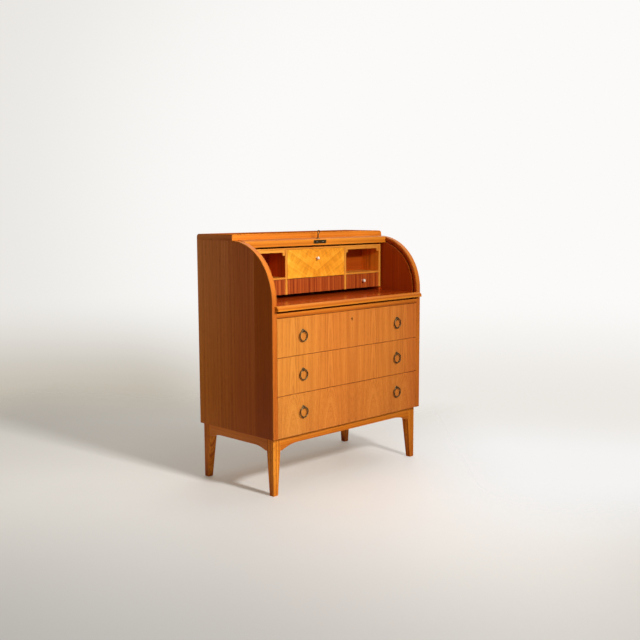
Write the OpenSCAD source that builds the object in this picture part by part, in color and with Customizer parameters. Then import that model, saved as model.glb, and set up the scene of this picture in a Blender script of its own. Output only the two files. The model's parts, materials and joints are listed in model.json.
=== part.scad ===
// Roll-top secretary: a tambour on a turning arc, a pull-out slab, three drawers and an interior unit.
// Millimetres. Origin on the floor under the middle of the piece, front towards -Y, X to the right.

/* [Case] */
// Width over the side panels
case_w = 900; // [840:10:980]
// Depth from the front edge of the sides to the back
case_d = 460; // [450:5:500]
// Height to the top of the top board
total_h = 1032; // [1022:2:1060]
// Height of the underside of the case, which the base carries
base_h = 234; // [210:2:250]
// Thickness of a side panel
side_t = 24; // [20:1:28]
// Thickness of the solid lipping on a side panel's front edge
lipping_t = 6; // [3:1:8]
// Thickness of the top board
top_t = 24; // [20:1:28]
// Radius on the rear edge of the top board
top_rear_r = 14; // [6:1:18]
// Radius on the right end of the top board
top_end_r = 15; // [6:1:18]
// Thickness of the back panel
back_t = 5; // [4:1:8]
// Thickness of the bottom board
bottom_t = 16; // [12:1:20]

/* [Tambour] */
// Height of the tambour's axis above the writing surface
axis_rise = 15; // [11:1:23]
// Wood left between the curved edge and the groove
groove_margin = 15; // [14:1:18]
// Gap between the tambour's back run and the back panel
back_run_gap = 4; // [3:1:10]
// Depth of the groove in a side panel
groove_depth = 8; // [6:1:10]
// Radial gap on each side of a slat in its groove
groove_gap = 0.5; // [0.3:0.1:1]
// Thickness of a slat
slat_t = 9.5; // [8:0.5:11]
// Number of slats
slat_count = 22; // [18:1:26]
// Gap between neighbouring slats
slat_gap = 0.4; // [0.3:0.1:0.6]
// Radius of a slat's crowned outer face
slat_crown_r = 30; // [20:1:60]
// How far the closed tambour runs on behind the top board's front edge, in degrees
tail_lap = 8.5; // [6:0.5:10]
// Thickness of the canvas backing
canvas_t = 1.2; // [0.8:0.1:1.6]
// Height of the lead rail when closed
rail_h = 47; // [44:1:52]
// Thickness of the lead rail
rail_t = 24; // [22:1:26]
// How far the closed lead rail stands proud of the case
rail_proud = 1; // [0:0.5:3]
// Gap between the closed lead rail and the slab
rail_seat_gap = 1; // [0.5:0.5:3]
// Gap between the open lead rail and the top board's edge, which stops it
stop_gap = 1.1; // [0.8:0.1:3]
// Radius on the lead rail's front top edge
rail_round = 5; // [3:1:8]

/* [Writing slab] */
// Thickness of the slab
slab_t = 20; // [18:1:24]
// Gap between the slab and the tambour's backing, at the height of the axis
slab_end_gap = 9.5; // [8:0.5:40]
// How far the lip stands out from the case front
lip_out = 20; // [16:1:26]
// Distance from the lip's end to the outside of the case
lip_end_in = 13; // [8:1:20]
// Radius of the lip's front edge
lip_r = 17; // [12:1:17]
// Gap between the slab's underside and the rail below it
slab_rail_gap = 8.5; // [6:0.5:12]
// Height of the rail under the slab
slab_rail_h = 19; // [16:1:22]
// Depth of the rail under the slab
slab_rail_d = 40; // [34:1:60]
// Width of the slab's bearers
bearer_w = 15; // [12:1:20]
// Height of the slab's bearers
bearer_h = 12; // [8:1:16]
// Height of the kickers over the slab
kicker_h = 11; // [8:1:12]
// Gap over the slab
kicker_gap = 0.5; // [0.3:0.1:1]
// Distance from the unit's front to the kickers
kicker_in = 6; // [0:1:20]
// Gap between the kickers and the tambour's backing
kicker_end_gap = 11; // [6:1:20]
// How far the slab pulls out
slab_travel = 190; // [120:5:200]
// Length and width of a stop block under the slab
stop_l = 30; // [20:2:50]
// Height of a stop block under the slab
stop_h = 16; // [12:1:20]
// Distance from the side panel to a stop block
stop_in = 96; // [40:4:200]

/* [Drawers] */
// Gap round a drawer front
front_gap = 2; // [1.5:0.5:3]
// Thickness of a drawer front
front_t = 20; // [16:1:22]
// How much lower the middle drawer's front is than the top one's
middle_front_less = 2.5; // [0:0.5:20]
// How much higher the bottom drawer's front is than the top one's
bottom_front_more = 13.5; // [0:0.5:40]
// Thickness of a drawer side
drawer_side_t = 12; // [11:1:14]
// Thickness of a drawer bottom
drawer_bottom_t = 4; // [3:1:6]
// Distance from the front's lower edge up to the drawer box
box_rise = 18; // [18:1:24]
// Distance from the front's upper edge down to the drawer box
box_drop = 8; // [6:1:14]
// Gap between a drawer box and the side panel
box_side_gap = 1; // [0.6:0.1:2]
// Gap behind a drawer box
box_back_gap = 12; // [8:1:20]
// Height of a drawer runner
runner_h = 12; // [10:1:16]
// Thickness of a drawer runner
runner_t = 6; // [5:0.5:8]
// Distance from the back of a drawer front to the runner
runner_in = 12; // [8:1:20]
// Gap round a runner in the drawer side
runner_gap = 0.5; // [0.3:0.1:1]

/* [Ring pulls] */
// Distance from the end of a drawer front to the middle of a pull
pull_in = 137; // [80:1:200]
// Distance from the top of a drawer front down to the eye
eye_drop = 58; // [40:1:66]
// Outer diameter of a ring
ring_d = 46; // [36:1:56]
// Diameter of the ring's wire
wire_d = 5; // [4:0.5:6]
// How far the ring's wire hangs in front of the drawer
eye_out = 6.5; // [6:0.5:10]
// Outer diameter of the eye
eye_d = 11; // [10:0.5:13]
// Length of the eye across the drawer
eye_w = 6; // [5:0.5:8]
// Radial gap between the ring's wire and its eye
eye_gap = 0.6; // [0.5:0.1:1]
// Diameter of the plate behind the eye
plate_d = 16; // [14:1:24]
// Thickness of the plate behind the eye
plate_t = 2; // [1:0.5:2.5]

/* [Interior unit] */
// How far the unit's front lies in front of the tambour's axis
unit_ahead = 25; // [17:1:33]
// Depth of the unit
unit_d = 110; // [100:2:116]
// Gap between the slab and the unit
unit_rise = 16; // [13:1:20]
// Gap between the unit and each side panel
unit_side_gap = 10; // [8:1:20]
// Distance from the unit's front to the blocks beside it
unit_bearer_in = 36; // [20:2:50]
// Distance from the unit's back to the blocks beside it
unit_bearer_end_in = 12; // [8:1:30]
// Distance from the unit's lower and upper ends to the blocks beside it
unit_bearer_rise = 24; // [16:1:50]
// Gap between the unit's top and the tambour's backing
unit_head_gap = 10.5; // [8:0.5:16]
// Thickness of the unit's ends and dividers
upright_t = 12; // [10:1:14]
// Width between the unit's dividers
centre_w = 346; // [300:2:380]
// Thickness of the unit's top and shelves
shelf_t = 7.5; // [6:0.5:10]
// Height of the shelves above the unit's lower edge
shelf_rise = 65; // [60:1:75]
// Thickness of the unit's back and bottom
unit_back_t = 5; // [4:0.5:6]
// Depth of the slope at the top of the unit's back
back_slope_d = 28; // [24:1:34]
// Height of the slope at the top of the unit's back
back_slope_h = 21; // [16:1:30]
// Height of a valance
valance_h = 11; // [8:1:16]
// Thickness of a valance
valance_t = 6; // [4:1:8]
// Distance from the unit's front to a valance
valance_in = 2; // [0:0.5:6]
// Width and drop of a valance's end bracket
bracket_size = 13; // [8:1:18]
// Radius on a valance bracket's corner
bracket_round = 5; // [2:0.5:8]
// Thickness of the small drawers' fronts and of the flap
small_front_t = 10; // [8:1:12]
// Gap round a small front
small_gap = 1; // [0.6:0.1:1.5]
// Thickness of a small drawer's sides
small_side_t = 6; // [5:0.5:8]
// Depth of a small drawer's box
small_box_d = 88; // [70:1:90]
// Distance from the top of the flap to its knob
flap_knob_drop = 40; // [25:1:60]
// Diameter of a knob
knob_d = 14; // [10:1:18]
// How far a knob stands out
knob_out = 16; // [14:1:20]
// Diameter of a knob's stem
stem_d = 6; // [4:0.5:8]
// Diameter of the flap's pivot pins
pivot_d = 4; // [3:0.5:5]
// Length of a pivot pin
pivot_l = 15; // [12:1:18]
// Radial running clearance of a pin in its bore
pin_fit = 0.05; // [0.02:0.01:0.1]

/* [Locks] */
// Distance from the lead rail's leading face to the key
key_rise = 15; // [13:1:18]
// Diameter of the key's shank
shank_d = 6; // [4:0.5:7]
// Length of the shank outside the rail
shank_out = 22; // [18:1:30]
// Height of the key's bow
bow_h = 16; // [14:1:20]
// How much wider than high the key's bow is
bow_extra = 2; // [1:1:12]
// Thickness of the key's bow
bow_t = 3.5; // [2.5:0.5:5]
// Wire of the key's bow
bow_wire = 3.5; // [2.5:0.5:4.5]
// Width of the tambour lock's case
lock_w = 64; // [56:1:70]
// Height of the tambour lock's case
lock_h = 34; // [33:1:38]
// Thickness of the tambour lock's case
lock_t = 12; // [10:1:14]
// Width of the tambour lock's face plate
lock_plate_w = 76; // [72:1:90]
// Height of the tambour lock's face plate
lock_plate_h = 15; // [14:1:18]
// Thickness of a face plate
face_t = 2; // [1.5:0.5:3]
// Width over the forked bolt
fork_w = 44; // [40:1:50]
// Width of one prong of the forked bolt
prong_w = 10; // [6:1:12]
// Thickness of a bolt
bolt_t = 3; // [2:0.5:4]
// Travel of a bolt
bolt_throw = 8; // [6:1:9]
// Gap round a bolt or lock in its pocket
lock_gap = 0.3; // [0.2:0.1:0.5]
// Gap round a thrown bolt in the piece that it locks to
strike_gap = 1; // [0.5:0.5:1.5]
// Diameter of the escutcheon round the key
escutcheon_d = 18; // [14:1:24]
// Thickness of the escutcheon
escutcheon_t = 1.5; // [1:0.5:2]
// Distance from the top of the drawer front to its keyhole
keyhole_drop = 33; // [26:1:40]
// Diameter of the drawer's keyhole
keyhole_d = 6; // [5:0.5:8]
// Width of the drawer lock's case
drawer_lock_w = 50; // [40:1:60]
// Height of the drawer lock's case
drawer_lock_h = 46; // [42:1:50]
// Thickness of the drawer lock's case
drawer_lock_t = 10; // [8:1:12]
// Width of the drawer lock's bolt
drawer_bolt_w = 20; // [14:1:26]

/* [Base] */
// Width of a leg above its taper
leg_w = 39; // [32:1:44]
// Width of a leg at the floor
foot_w = 25; // [20:1:30]
// Distance from the legs to the outside of the case
leg_side_in = 14; // [10:1:30]
// Distance from the front legs to the case front
leg_front_in = 18; // [10:1:40]
// Distance from the rear legs to the case back
leg_rear_in = 5; // [0:1:30]
// Thickness of an apron
apron_t = 20; // [16:1:24]
// How far an apron lies behind the outer faces of the legs
apron_in = 1.5; // [0:0.5:4]
// Height of the front and rear aprons between their brackets
front_apron_h = 34; // [28:1:38]
// Height of the side aprons between their brackets
side_apron_h = 40; // [30:1:46]
// Depth of the brackets' tips under the case
bracket_tip = 54; // [48:1:60]
// Length of the level tip that ends a bracket at its leg
bracket_level = 11; // [4:1:20]
// Length of a front bracket
front_bracket_run = 100; // [60:2:130]
// Length of a side bracket
side_bracket_run = 72; // [50:2:100]
// Reach of a corner block along an apron
block_reach = 50; // [40:1:70]
// Height of a corner block
block_h = 26; // [20:1:30]
// Diameter of a base screw
screw_d = 5; // [4:0.5:6]
// Diameter of a base screw's head
screw_head_d = 10; // [8:0.5:12]
// Height of a base screw's head
screw_head_h = 3; // [2:0.5:4]
// Depth of a base screw in the bottom board
screw_bite = 10; // [8:1:12]
// Radial gap round a screw
screw_gap = 0.1; // [0.05:0.05:0.3]

/* [Hidden] */
$fn = 96;

// Overlap of a cut with the open side of what it cuts
cut = 1;
wood = "peru";
front_wood = "sandybrown";
dark_wood = "saddlebrown";
pale_wood = "burlywood";
brass = "darkgoldenrod";

half_w = case_w / 2;
inner_x = half_w - side_t;
front_y = -(case_d + lip_out) / 2 + lip_out;
back_y = front_y + case_d;
back_face_y = back_y - back_t;
top_z = total_h - top_t;

// The tambour turns about this axis, the centre of the side panels' curve
curve_r = (case_d - back_t - back_run_gap + groove_margin) / 2;
axis_y = front_y + curve_r;
axis_z = top_z - curve_r;
writing_h = axis_z - axis_rise;
slat_out_r = curve_r - groove_margin - groove_gap;
slat_in_r = slat_out_r - slat_t;
backing_gap = 0.3;
canvas_out_r = slat_in_r - backing_gap;
canvas_in_r = canvas_out_r - canvas_t;
slat_end_gap = 1;
slat_half_l = inner_x + groove_depth - slat_end_gap;

// The lead rail's section when closed, measured from the axis
rail_face = rail_seat_gap - axis_rise;
rail_top = rail_face + rail_h;
rail_out = curve_r + rail_proud;
rail_in = rail_out - rail_t;
rail_end_gap = 0.8;
open_turn = acos(stop_gap / norm([rail_out, rail_top])) - atan(rail_top / rail_out);
slat_start = asin((rail_top + slat_gap) / slat_in_r);
slat_end = 90 + tail_lap;
slat_pitch = (slat_end - slat_start) / slat_count;
slat_gap_turn = atan(slat_gap / slat_in_r);
groove_run_on = 1;
groove_start = asin(rail_face / slat_in_r) - groove_run_on;
groove_end = slat_end + open_turn + groove_run_on;

rebate_w = 8;
rebate_gap = 0.3;

slab_under = writing_h - slab_t;
slab_side_gap = 1;
slab_rail_top = slab_under - slab_rail_gap;
slab_rail_low = slab_rail_top - slab_rail_h;
unit_y = axis_y - unit_ahead;
kicker_y0 = unit_y + kicker_in;
kicker_y1 = axis_y + canvas_in_r - kicker_end_gap;
stop_x = inner_x - stop_in - stop_l;
stop_y = front_y + slab_rail_d + slab_travel;

// Lower and upper edges of the three drawer fronts, from the top drawer down
fronts_low = base_h + front_gap / 2;
fronts_h = slab_rail_low - fronts_low - 3 * front_gap;
top_front_h = (fronts_h + middle_front_less - bottom_front_more) / 3;
middle_front_h = top_front_h - middle_front_less;
top_front = [slab_rail_low - front_gap - top_front_h, slab_rail_low - front_gap];
middle_front = [top_front[0] - front_gap - middle_front_h, top_front[0] - front_gap];
bottom_front = [fronts_low, middle_front[0] - front_gap];
box_back = back_face_y - box_back_gap;
box_x = inner_x - box_side_gap;
runner_y = front_y + front_t + runner_in;

pull_x = inner_x - front_gap / 2 - pull_in;
eye_y = front_y - eye_out;
ring_r = (ring_d - wire_d) / 2;
eye_bore_r = wire_d / 2 + eye_gap;
neck_d = 6;

unit_back_y = unit_y + unit_d;
unit_inner_y = unit_back_y - unit_back_t;
unit_z = writing_h + unit_rise;
unit_x = inner_x - unit_side_gap;
unit_top_z = axis_z + canvas_in_r - unit_head_gap;
unit_head_z = unit_top_z - shelf_t;
shelf_low = unit_z + shelf_rise;
shelf_top = shelf_low + shelf_t;
end_in = unit_x - upright_t;
divider_in = centre_w / 2;
divider_out = divider_in + upright_t;
small_front_y1 = unit_y + small_front_t;
floor_front_gap = 3;
floor_y = small_front_y1 + floor_front_gap;
floor_top = unit_z + unit_back_t;
small_low = unit_z + small_gap;
small_high = shelf_low - small_gap;
small_box_gap = 0.3;
small_box_top_gap = 8;
small_box_side_gap = 0.7;
small_bottom_t = 3;

// The flap turns on pins in the middle of its thickness. Its lower edge is round at the back
// and square at the front, where it meets the shelf when the flap is level
flap_stop_gap = 0.1;
flap_tail = small_front_t / 2 + small_gap - flap_stop_gap;
pivot_y = unit_y + small_front_t / 2;
flap_low = shelf_low + small_gap;
pivot_z = flap_low + flap_tail;
flap_x = divider_in - small_gap;
flap_high = unit_head_z - small_gap;
pin_end_gap = 1;
pivot_bore_depth = (pivot_l - small_gap) / 2 + pin_end_gap;
knob_r = knob_d / 2;

key_s = rail_face + key_rise;
lock_mid = rail_out - rail_t / 2;
fork_bar = 4;
fork_top = lock_h + rail_face - face_t - 2 * lock_gap;
rail_bore_gap = 1.5;
shank_in = 4;

drawer_lock_y = front_y + front_t;
drawer_bolt_y = drawer_lock_y + (drawer_lock_t - bolt_t) / 2;
drawer_bolt_l = 20;
keyhole_z = top_front[1] - keyhole_drop;
keyhole_slot_w = 2.4;
keyhole_slot_h = 8;

leg_x = half_w - leg_side_in;
leg_y0 = front_y + leg_front_in;
leg_y1 = back_y - leg_rear_in;
leg_in_x = leg_x - leg_w;
taper_z = base_h - bracket_tip;
apron_x = leg_x - apron_in;
apron_in_x = apron_x - apron_t;
apron_y0 = leg_y0 + apron_in;
apron_y1 = leg_y1 - apron_in;
block_z = base_h - block_h;
screw_in = 10;
screw_x = leg_in_x - screw_in;
screw_in_y = leg_w + screw_in;

// A block between its lowest and highest corners
module block(low, high) {
    translate(low)
        cube(high - low);
}

// An outline of Y and Z, run from x0 to x1
module across(x0, x1) {
    translate([x0, 0, 0])
        rotate([90, 0, 90])
            linear_extrude(x1 - x0)
                children();
}

// An outline of X and Z, run from y0 to y1
module front_to_back(y0, y1) {
    translate([0, y1, 0])
        rotate([90, 0, 0])
            linear_extrude(y1 - y0)
                children();
}

// A cylinder along X, with its middle at the given point
module rod_x(at, r, l) {
    translate(at)
        rotate([0, 90, 0])
            cylinder(r = r, h = l, center = true);
}

// A cylinder along Y, from y0 to y1
module rod_y(x, z, r, y0, y1) {
    translate([x, y1, z])
        rotate([90, 0, 0])
            cylinder(r = r, h = y1 - y0);
}

module both_sides() {
    children();
    mirror([1, 0, 0])
        children();
}

// A rectangle whose far upper corner is rounded
module one_round_corner(w, h, r) {
    square([w - r, h]);
    square([w, h - r]);
    intersection() {
        square([w, h]);
        translate([w - r, h - r])
            circle(r);
    }
}

// Side panel outline in Y and Z, with its front edge moved in
module side_outline(inset) {
    translate([front_y + inset, base_h])
        square([case_d - inset, axis_z - base_h]);
    intersection() {
        translate([axis_y, axis_z])
            circle(curve_r - inset, $fn = 180);
        translate([front_y, axis_z])
            square([curve_r, curve_r]);
    }
    translate([axis_y, axis_z])
        square([back_y - axis_y, curve_r]);
}

// Part of a ring about the tambour's axis, its angles counted up from the front
module ring_part(x0, x1, r_in, r_out, from, to) {
    translate([x0, axis_y, axis_z])
        rotate([90, 0, 90])
            rotate([0, 0, 180 - to])
                rotate_extrude(angle = to - from, $fn = 180)
                    translate([r_in, 0])
                        square([r_out - r_in, x1 - x0]);
}

// Turns what is drawn closed to where it rests, rolled open
module rolled_open() {
    translate([0, axis_y, axis_z])
        rotate([-open_turn, 0, 0])
            children();
}

module side_panel_shape() {
    difference() {
        across(inner_x, half_w)
            side_outline(lipping_t);
        ring_part(inner_x - cut, inner_x + groove_depth, slat_in_r - groove_gap,
            slat_out_r + groove_gap, groove_start, groove_end);
        block([inner_x - cut, back_face_y, base_h - cut],
            [inner_x + rebate_w, back_y + cut, top_z + cut]);
    }
}

module left_side_panel() {
    color(wood)
        mirror([1, 0, 0])
            side_panel_shape();
}

module right_side_panel() {
    color(wood)
        side_panel_shape();
}

module side_lippings() {
    color(front_wood)
        both_sides()
            across(inner_x, half_w)
                difference() {
                    side_outline(0);
                    side_outline(lipping_t);
                }
}

module top_board() {
    color(wood)
        intersection() {
            across(-half_w, half_w)
                translate([axis_y, top_z])
                    one_round_corner(back_y - axis_y, top_t, top_rear_r);
            front_to_back(axis_y, back_y)
                translate([-half_w, top_z])
                    one_round_corner(case_w, top_t, top_end_r);
        }
}

module back_panel() {
    back_x = inner_x + rebate_w - rebate_gap;
    color(pale_wood)
        block([-back_x, back_face_y, base_h], [back_x, back_y, top_z]);
}

module bottom_board() {
    color(pale_wood)
        difference() {
            block([-inner_x, front_y + front_t + front_gap, base_h],
                [inner_x, back_face_y, base_h + bottom_t]);
            at_screws()
                translate([0, 0, base_h - cut])
                    cylinder(d = screw_d + 2 * screw_gap, h = screw_bite + 2 * cut);
        }
}

module slab_rail() {
    strike_x = drawer_bolt_w / 2 + strike_gap;
    color(front_wood)
        difference() {
            block([-inner_x, front_y, slab_rail_low], [inner_x, front_y + slab_rail_d, slab_rail_top]);
            block([-strike_x, drawer_bolt_y - strike_gap, slab_rail_low - cut],
                [strike_x, drawer_bolt_y + bolt_t + strike_gap, slab_rail_low + bolt_throw + strike_gap]);
        }
}

// Middle height of the runner in a drawer whose front spans the given heights
function runner_z(front) = (front[0] + box_rise + front[1] - box_drop) / 2;

// Bearers and kickers of the slab, and the runners of the three drawers
module runners() {
    color(pale_wood)
        both_sides() {
            block([inner_x - bearer_w, front_y + slab_rail_d, slab_under - bearer_h],
                [inner_x, back_face_y, slab_under]);
            block([inner_x - bearer_w, kicker_y0, writing_h + kicker_gap],
                [inner_x, kicker_y1, writing_h + kicker_gap + kicker_h]);
            for (front = [top_front, middle_front, bottom_front])
                block([inner_x - runner_t, runner_y, runner_z(front) - runner_h / 2],
                    [inner_x, back_face_y, runner_z(front) + runner_h / 2]);
        }
}

// Blocks that carry the unit between the side panels
module unit_bearers() {
    color(pale_wood)
        both_sides()
            block([unit_x, unit_y + unit_bearer_in, unit_z + unit_bearer_rise],
                [inner_x, unit_back_y - unit_bearer_end_in, unit_head_z - unit_bearer_rise]);
}

// Bracket outline with a level tip at its left end, from which a hollow curve runs out at its right end
module bracket_outline(run, drop) {
    reach = run - bracket_level;
    r = (reach * reach + drop * drop) / (2 * drop);
    difference() {
        translate([0, -drop])
            square([run, drop + cut]);
        translate([run, -r])
            circle(r, $fn = 180);
    }
}

// An apron of the given length and height, with its lower edge swept down to brackets at both ends
module apron_outline(l, h, run) {
    translate([-l / 2, -h])
        square([l, h]);
    both_sides()
        translate([-l / 2, -h])
            bracket_outline(run, bracket_tip - h);
}

module front_apron() {
    color(front_wood)
        front_to_back(apron_y0, apron_y0 + apron_t)
            translate([0, base_h])
                apron_outline(2 * leg_in_x, front_apron_h, front_bracket_run);
}

module rear_apron() {
    color(front_wood)
        front_to_back(apron_y1 - apron_t, apron_y1)
            translate([0, base_h])
                apron_outline(2 * leg_in_x, front_apron_h, front_bracket_run);
}

module side_aprons() {
    color(front_wood)
        both_sides()
            across(apron_in_x, apron_x)
                translate([(leg_y0 + leg_y1) / 2, base_h])
                    apron_outline(leg_y1 - leg_y0 - 2 * leg_w, side_apron_h, side_bracket_run);
}

// Leg outline, upright at the left edge and tapered at the right
module leg_outline() {
    polygon([[0, 0], [foot_w, 0], [leg_w, taper_z], [leg_w, base_h], [0, base_h]]);
}

// A leg with its outer corner at the origin, tapering in towards +X and +Y
module leg_shape() {
    color(front_wood)
        intersection() {
            front_to_back(0, leg_w)
                leg_outline();
            across(0, leg_w)
                leg_outline();
        }
}

module front_left_leg() {
    translate([-leg_x, leg_y0, 0])
        leg_shape();
}

module front_right_leg() {
    translate([leg_x, leg_y0, 0])
        mirror([1, 0, 0])
            leg_shape();
}

module rear_left_leg() {
    translate([-leg_x, leg_y1, 0])
        mirror([0, 1, 0])
            leg_shape();
}

module rear_right_leg() {
    translate([leg_x, leg_y1, 0])
        mirror([1, 0, 0])
            mirror([0, 1, 0])
                leg_shape();
}

// Puts its children at each of the four base screws
module at_screws() {
    for (x = [-screw_x, screw_x])
        for (y = [leg_y0 + screw_in_y, leg_y1 - screw_in_y])
            translate([x, y, 0])
                children();
}

module corner_block_shape() {
    difference() {
        translate([0, 0, block_z])
            linear_extrude(block_h)
                polygon([
                    [leg_in_x, apron_y0 + apron_t],
                    [leg_in_x - block_reach, apron_y0 + apron_t],
                    [apron_in_x, leg_y0 + leg_w + block_reach],
                    [apron_in_x, leg_y0 + leg_w],
                    [leg_in_x, leg_y0 + leg_w]
                ]);
        translate([screw_x, leg_y0 + screw_in_y, block_z - cut])
            cylinder(d = screw_d + 2 * screw_gap, h = block_h + 2 * cut);
    }
}

module corner_blocks() {
    color(pale_wood)
        both_sides() {
            corner_block_shape();
            translate([0, leg_y0 + leg_y1, 0])
                mirror([0, 1, 0])
                    corner_block_shape();
        }
}

module base_screws() {
    color(brass)
        at_screws() {
            translate([0, 0, block_z - screw_head_h])
                cylinder(d = screw_head_d, h = screw_head_h);
            translate([0, 0, block_z - screw_head_h])
                cylinder(d = screw_d, h = screw_head_h + block_h + screw_bite);
        }
}

// Outline of an end or divider, its top rear corner sloped to stay inside the tambour
module upright_outline() {
    polygon([
        [unit_y, unit_z],
        [floor_y, unit_z],
        [floor_y, floor_top],
        [unit_inner_y, floor_top],
        [unit_inner_y, unit_head_z - back_slope_h],
        [unit_inner_y - back_slope_d, unit_head_z],
        [unit_y, unit_head_z]
    ]);
}

module unit_uprights() {
    color(pale_wood)
        both_sides() {
            across(end_in, unit_x)
                upright_outline();
            difference() {
                across(divider_in, divider_out)
                    upright_outline();
                rod_x([divider_in, pivot_y, pivot_z], pivot_d / 2 + pin_fit, 2 * pivot_bore_depth);
            }
        }
}

module unit_top() {
    color(pale_wood)
        block([-unit_x, unit_y, unit_head_z], [unit_x, unit_back_y - back_slope_d, unit_top_z]);
}

module unit_floor_and_shelves() {
    color(pale_wood) {
        block([-unit_x, floor_y, unit_z], [unit_x, unit_inner_y, floor_top]);
        block([-divider_in, small_front_y1 + small_gap, shelf_low], [divider_in, unit_inner_y, shelf_top]);
        both_sides()
            block([divider_out, unit_y, shelf_low], [end_in, unit_inner_y, shelf_top]);
    }
}

module unit_back() {
    color(pale_wood)
        across(-unit_x, unit_x)
            polygon([
                [unit_inner_y, unit_z],
                [unit_back_y, unit_z],
                [unit_back_y, unit_head_z - back_slope_h],
                [unit_back_y - back_slope_d, unit_head_z],
                [unit_inner_y - back_slope_d, unit_head_z],
                [unit_inner_y, unit_head_z - back_slope_h]
            ]);
}

module unit_valances() {
    opening = end_in - divider_out;
    color(pale_wood)
        both_sides()
            front_to_back(unit_y + valance_in, unit_y + valance_in + valance_t)
                translate([divider_out + opening / 2, unit_head_z]) {
                    translate([-opening / 2, -valance_h])
                        square([opening, valance_h]);
                    both_sides()
                        translate([-opening / 2, 0])
                            mirror([0, 1])
                                one_round_corner(bracket_size, valance_h + bracket_size, bracket_round);
                }
}

module flap_pivots() {
    color(brass)
        both_sides()
            rod_x([divider_in - small_gap / 2, pivot_y, pivot_z], pivot_d / 2, pivot_l);
}

module flap_panel() {
    color(front_wood)
        difference() {
            union() {
                block([-flap_x, unit_y, pivot_z], [flap_x, small_front_y1, flap_high]);
                block([-flap_x, unit_y, flap_low], [flap_x, pivot_y, pivot_z]);
                rod_x([0, pivot_y, pivot_z], small_front_t / 2, 2 * flap_x);
            }
            both_sides()
                rod_x([flap_x, pivot_y, pivot_z], pivot_d / 2 + pin_fit, 2 * pivot_bore_depth);
        }
}

// A turned knob standing out from the unit's front
module knob(x, z) {
    color("ivory") {
        translate([x, unit_y - knob_out + knob_r, z])
            sphere(knob_r);
        rod_y(x, z, stem_d / 2, unit_y - knob_out + knob_r, unit_y);
    }
}

module flap_knob() {
    knob(0, flap_high - flap_knob_drop);
}

// Front of a small drawer between two uprights
module small_front(x0, x1) {
    color(dark_wood)
        block([x0 + small_gap, unit_y, small_low], [x1 - small_gap, small_front_y1, small_high]);
}

// Box of a small drawer between two uprights, open at the top
module small_box(x0, x1) {
    low = [x0 + small_box_side_gap, small_front_y1, floor_top + small_box_gap];
    high = [x1 - small_box_side_gap, small_front_y1 + small_box_d, shelf_low - small_box_top_gap];
    color(pale_wood)
        difference() {
            block(low, high);
            block(low + [small_side_t, -cut, small_bottom_t], high + [-small_side_t, -small_side_t, cut]);
        }
}

module left_small_drawer_front() {
    small_front(-end_in, -divider_out);
}

module left_small_drawer_box() {
    small_box(-end_in, -divider_out);
}

module left_small_drawer_knob() {
    knob(-(end_in + divider_out) / 2, (small_low + small_high) / 2);
}

module right_small_drawer_front() {
    small_front(divider_out, end_in);
}

module right_small_drawer_box() {
    small_box(divider_out, end_in);
}

module right_small_drawer_knob() {
    knob((end_in + divider_out) / 2, (small_low + small_high) / 2);
}

module centre_drawer_front() {
    small_front(-divider_in, divider_in);
}

module centre_drawer_box() {
    small_box(-divider_in, divider_in);
}

// Front of a long drawer that spans the given heights
module long_front(front) {
    color(front_wood)
        block([-inner_x + front_gap / 2, front_y, front[0]],
            [inner_x - front_gap / 2, front_y + front_t, front[1]]);
}

// Box of a long drawer, its sides grooved for the runners
module long_box(front) {
    low = [-box_x, front_y + front_t, front[0] + box_rise];
    high = [box_x, box_back, front[1] - box_drop];
    groove_low = [inner_x - runner_t - runner_gap, runner_y - runner_gap,
        runner_z(front) - runner_h / 2 - runner_gap];
    color(pale_wood)
        difference() {
            block(low, high);
            block(low + [drawer_side_t, -cut, drawer_bottom_t], high + [-drawer_side_t, -drawer_side_t, cut]);
            both_sides()
                block(groove_low, [inner_x + cut, back_y, runner_z(front) + runner_h / 2 + runner_gap]);
        }
}

// Height of the eyes on a drawer front
function eye_z(front) = front[1] - eye_drop;

// The two eyes of a long drawer, each on its plate
module eyes(front) {
    color(brass)
        both_sides()
            difference() {
                union() {
                    rod_y(pull_x, eye_z(front), plate_d / 2, front_y - plate_t, front_y);
                    rod_y(pull_x, eye_z(front), neck_d / 2, eye_y, front_y);
                    rod_x([pull_x, eye_y, eye_z(front)], eye_d / 2, eye_w);
                }
                rod_x([pull_x, eye_y, eye_z(front)], eye_bore_r, eye_w + 2 * cut);
            }
}

// A ring that hangs in an eye
module ring(front, side) {
    color(brass)
        translate([side * pull_x, eye_y, eye_z(front) - ring_r])
            rotate([90, 0, 0])
                rotate_extrude()
                    translate([ring_r, 0])
                        circle(d = wire_d);
}

module top_drawer_front() {
    color(front_wood)
        difference() {
            long_front(top_front);
            rod_y(0, keyhole_z, keyhole_d / 2, front_y - cut, front_y + front_t + cut);
            block([-keyhole_slot_w / 2, front_y - cut, keyhole_z - keyhole_slot_h],
                [keyhole_slot_w / 2, front_y + front_t + cut, keyhole_z]);
        }
}

module top_drawer_box() {
    long_box(top_front);
}

module top_drawer_eyes() {
    eyes(top_front);
}

module middle_drawer_front() {
    long_front(middle_front);
}

module middle_drawer_box() {
    long_box(middle_front);
}

module middle_drawer_eyes() {
    eyes(middle_front);
}

module bottom_drawer_front() {
    long_front(bottom_front);
}

module bottom_drawer_box() {
    long_box(bottom_front);
}

module bottom_drawer_eyes() {
    eyes(bottom_front);
}

module top_left_ring() {
    ring(top_front, -1);
}

module top_right_ring() {
    ring(top_front, 1);
}

module middle_left_ring() {
    ring(middle_front, -1);
}

module middle_right_ring() {
    ring(middle_front, 1);
}

module bottom_left_ring() {
    ring(bottom_front, -1);
}

module bottom_right_ring() {
    ring(bottom_front, 1);
}

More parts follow.
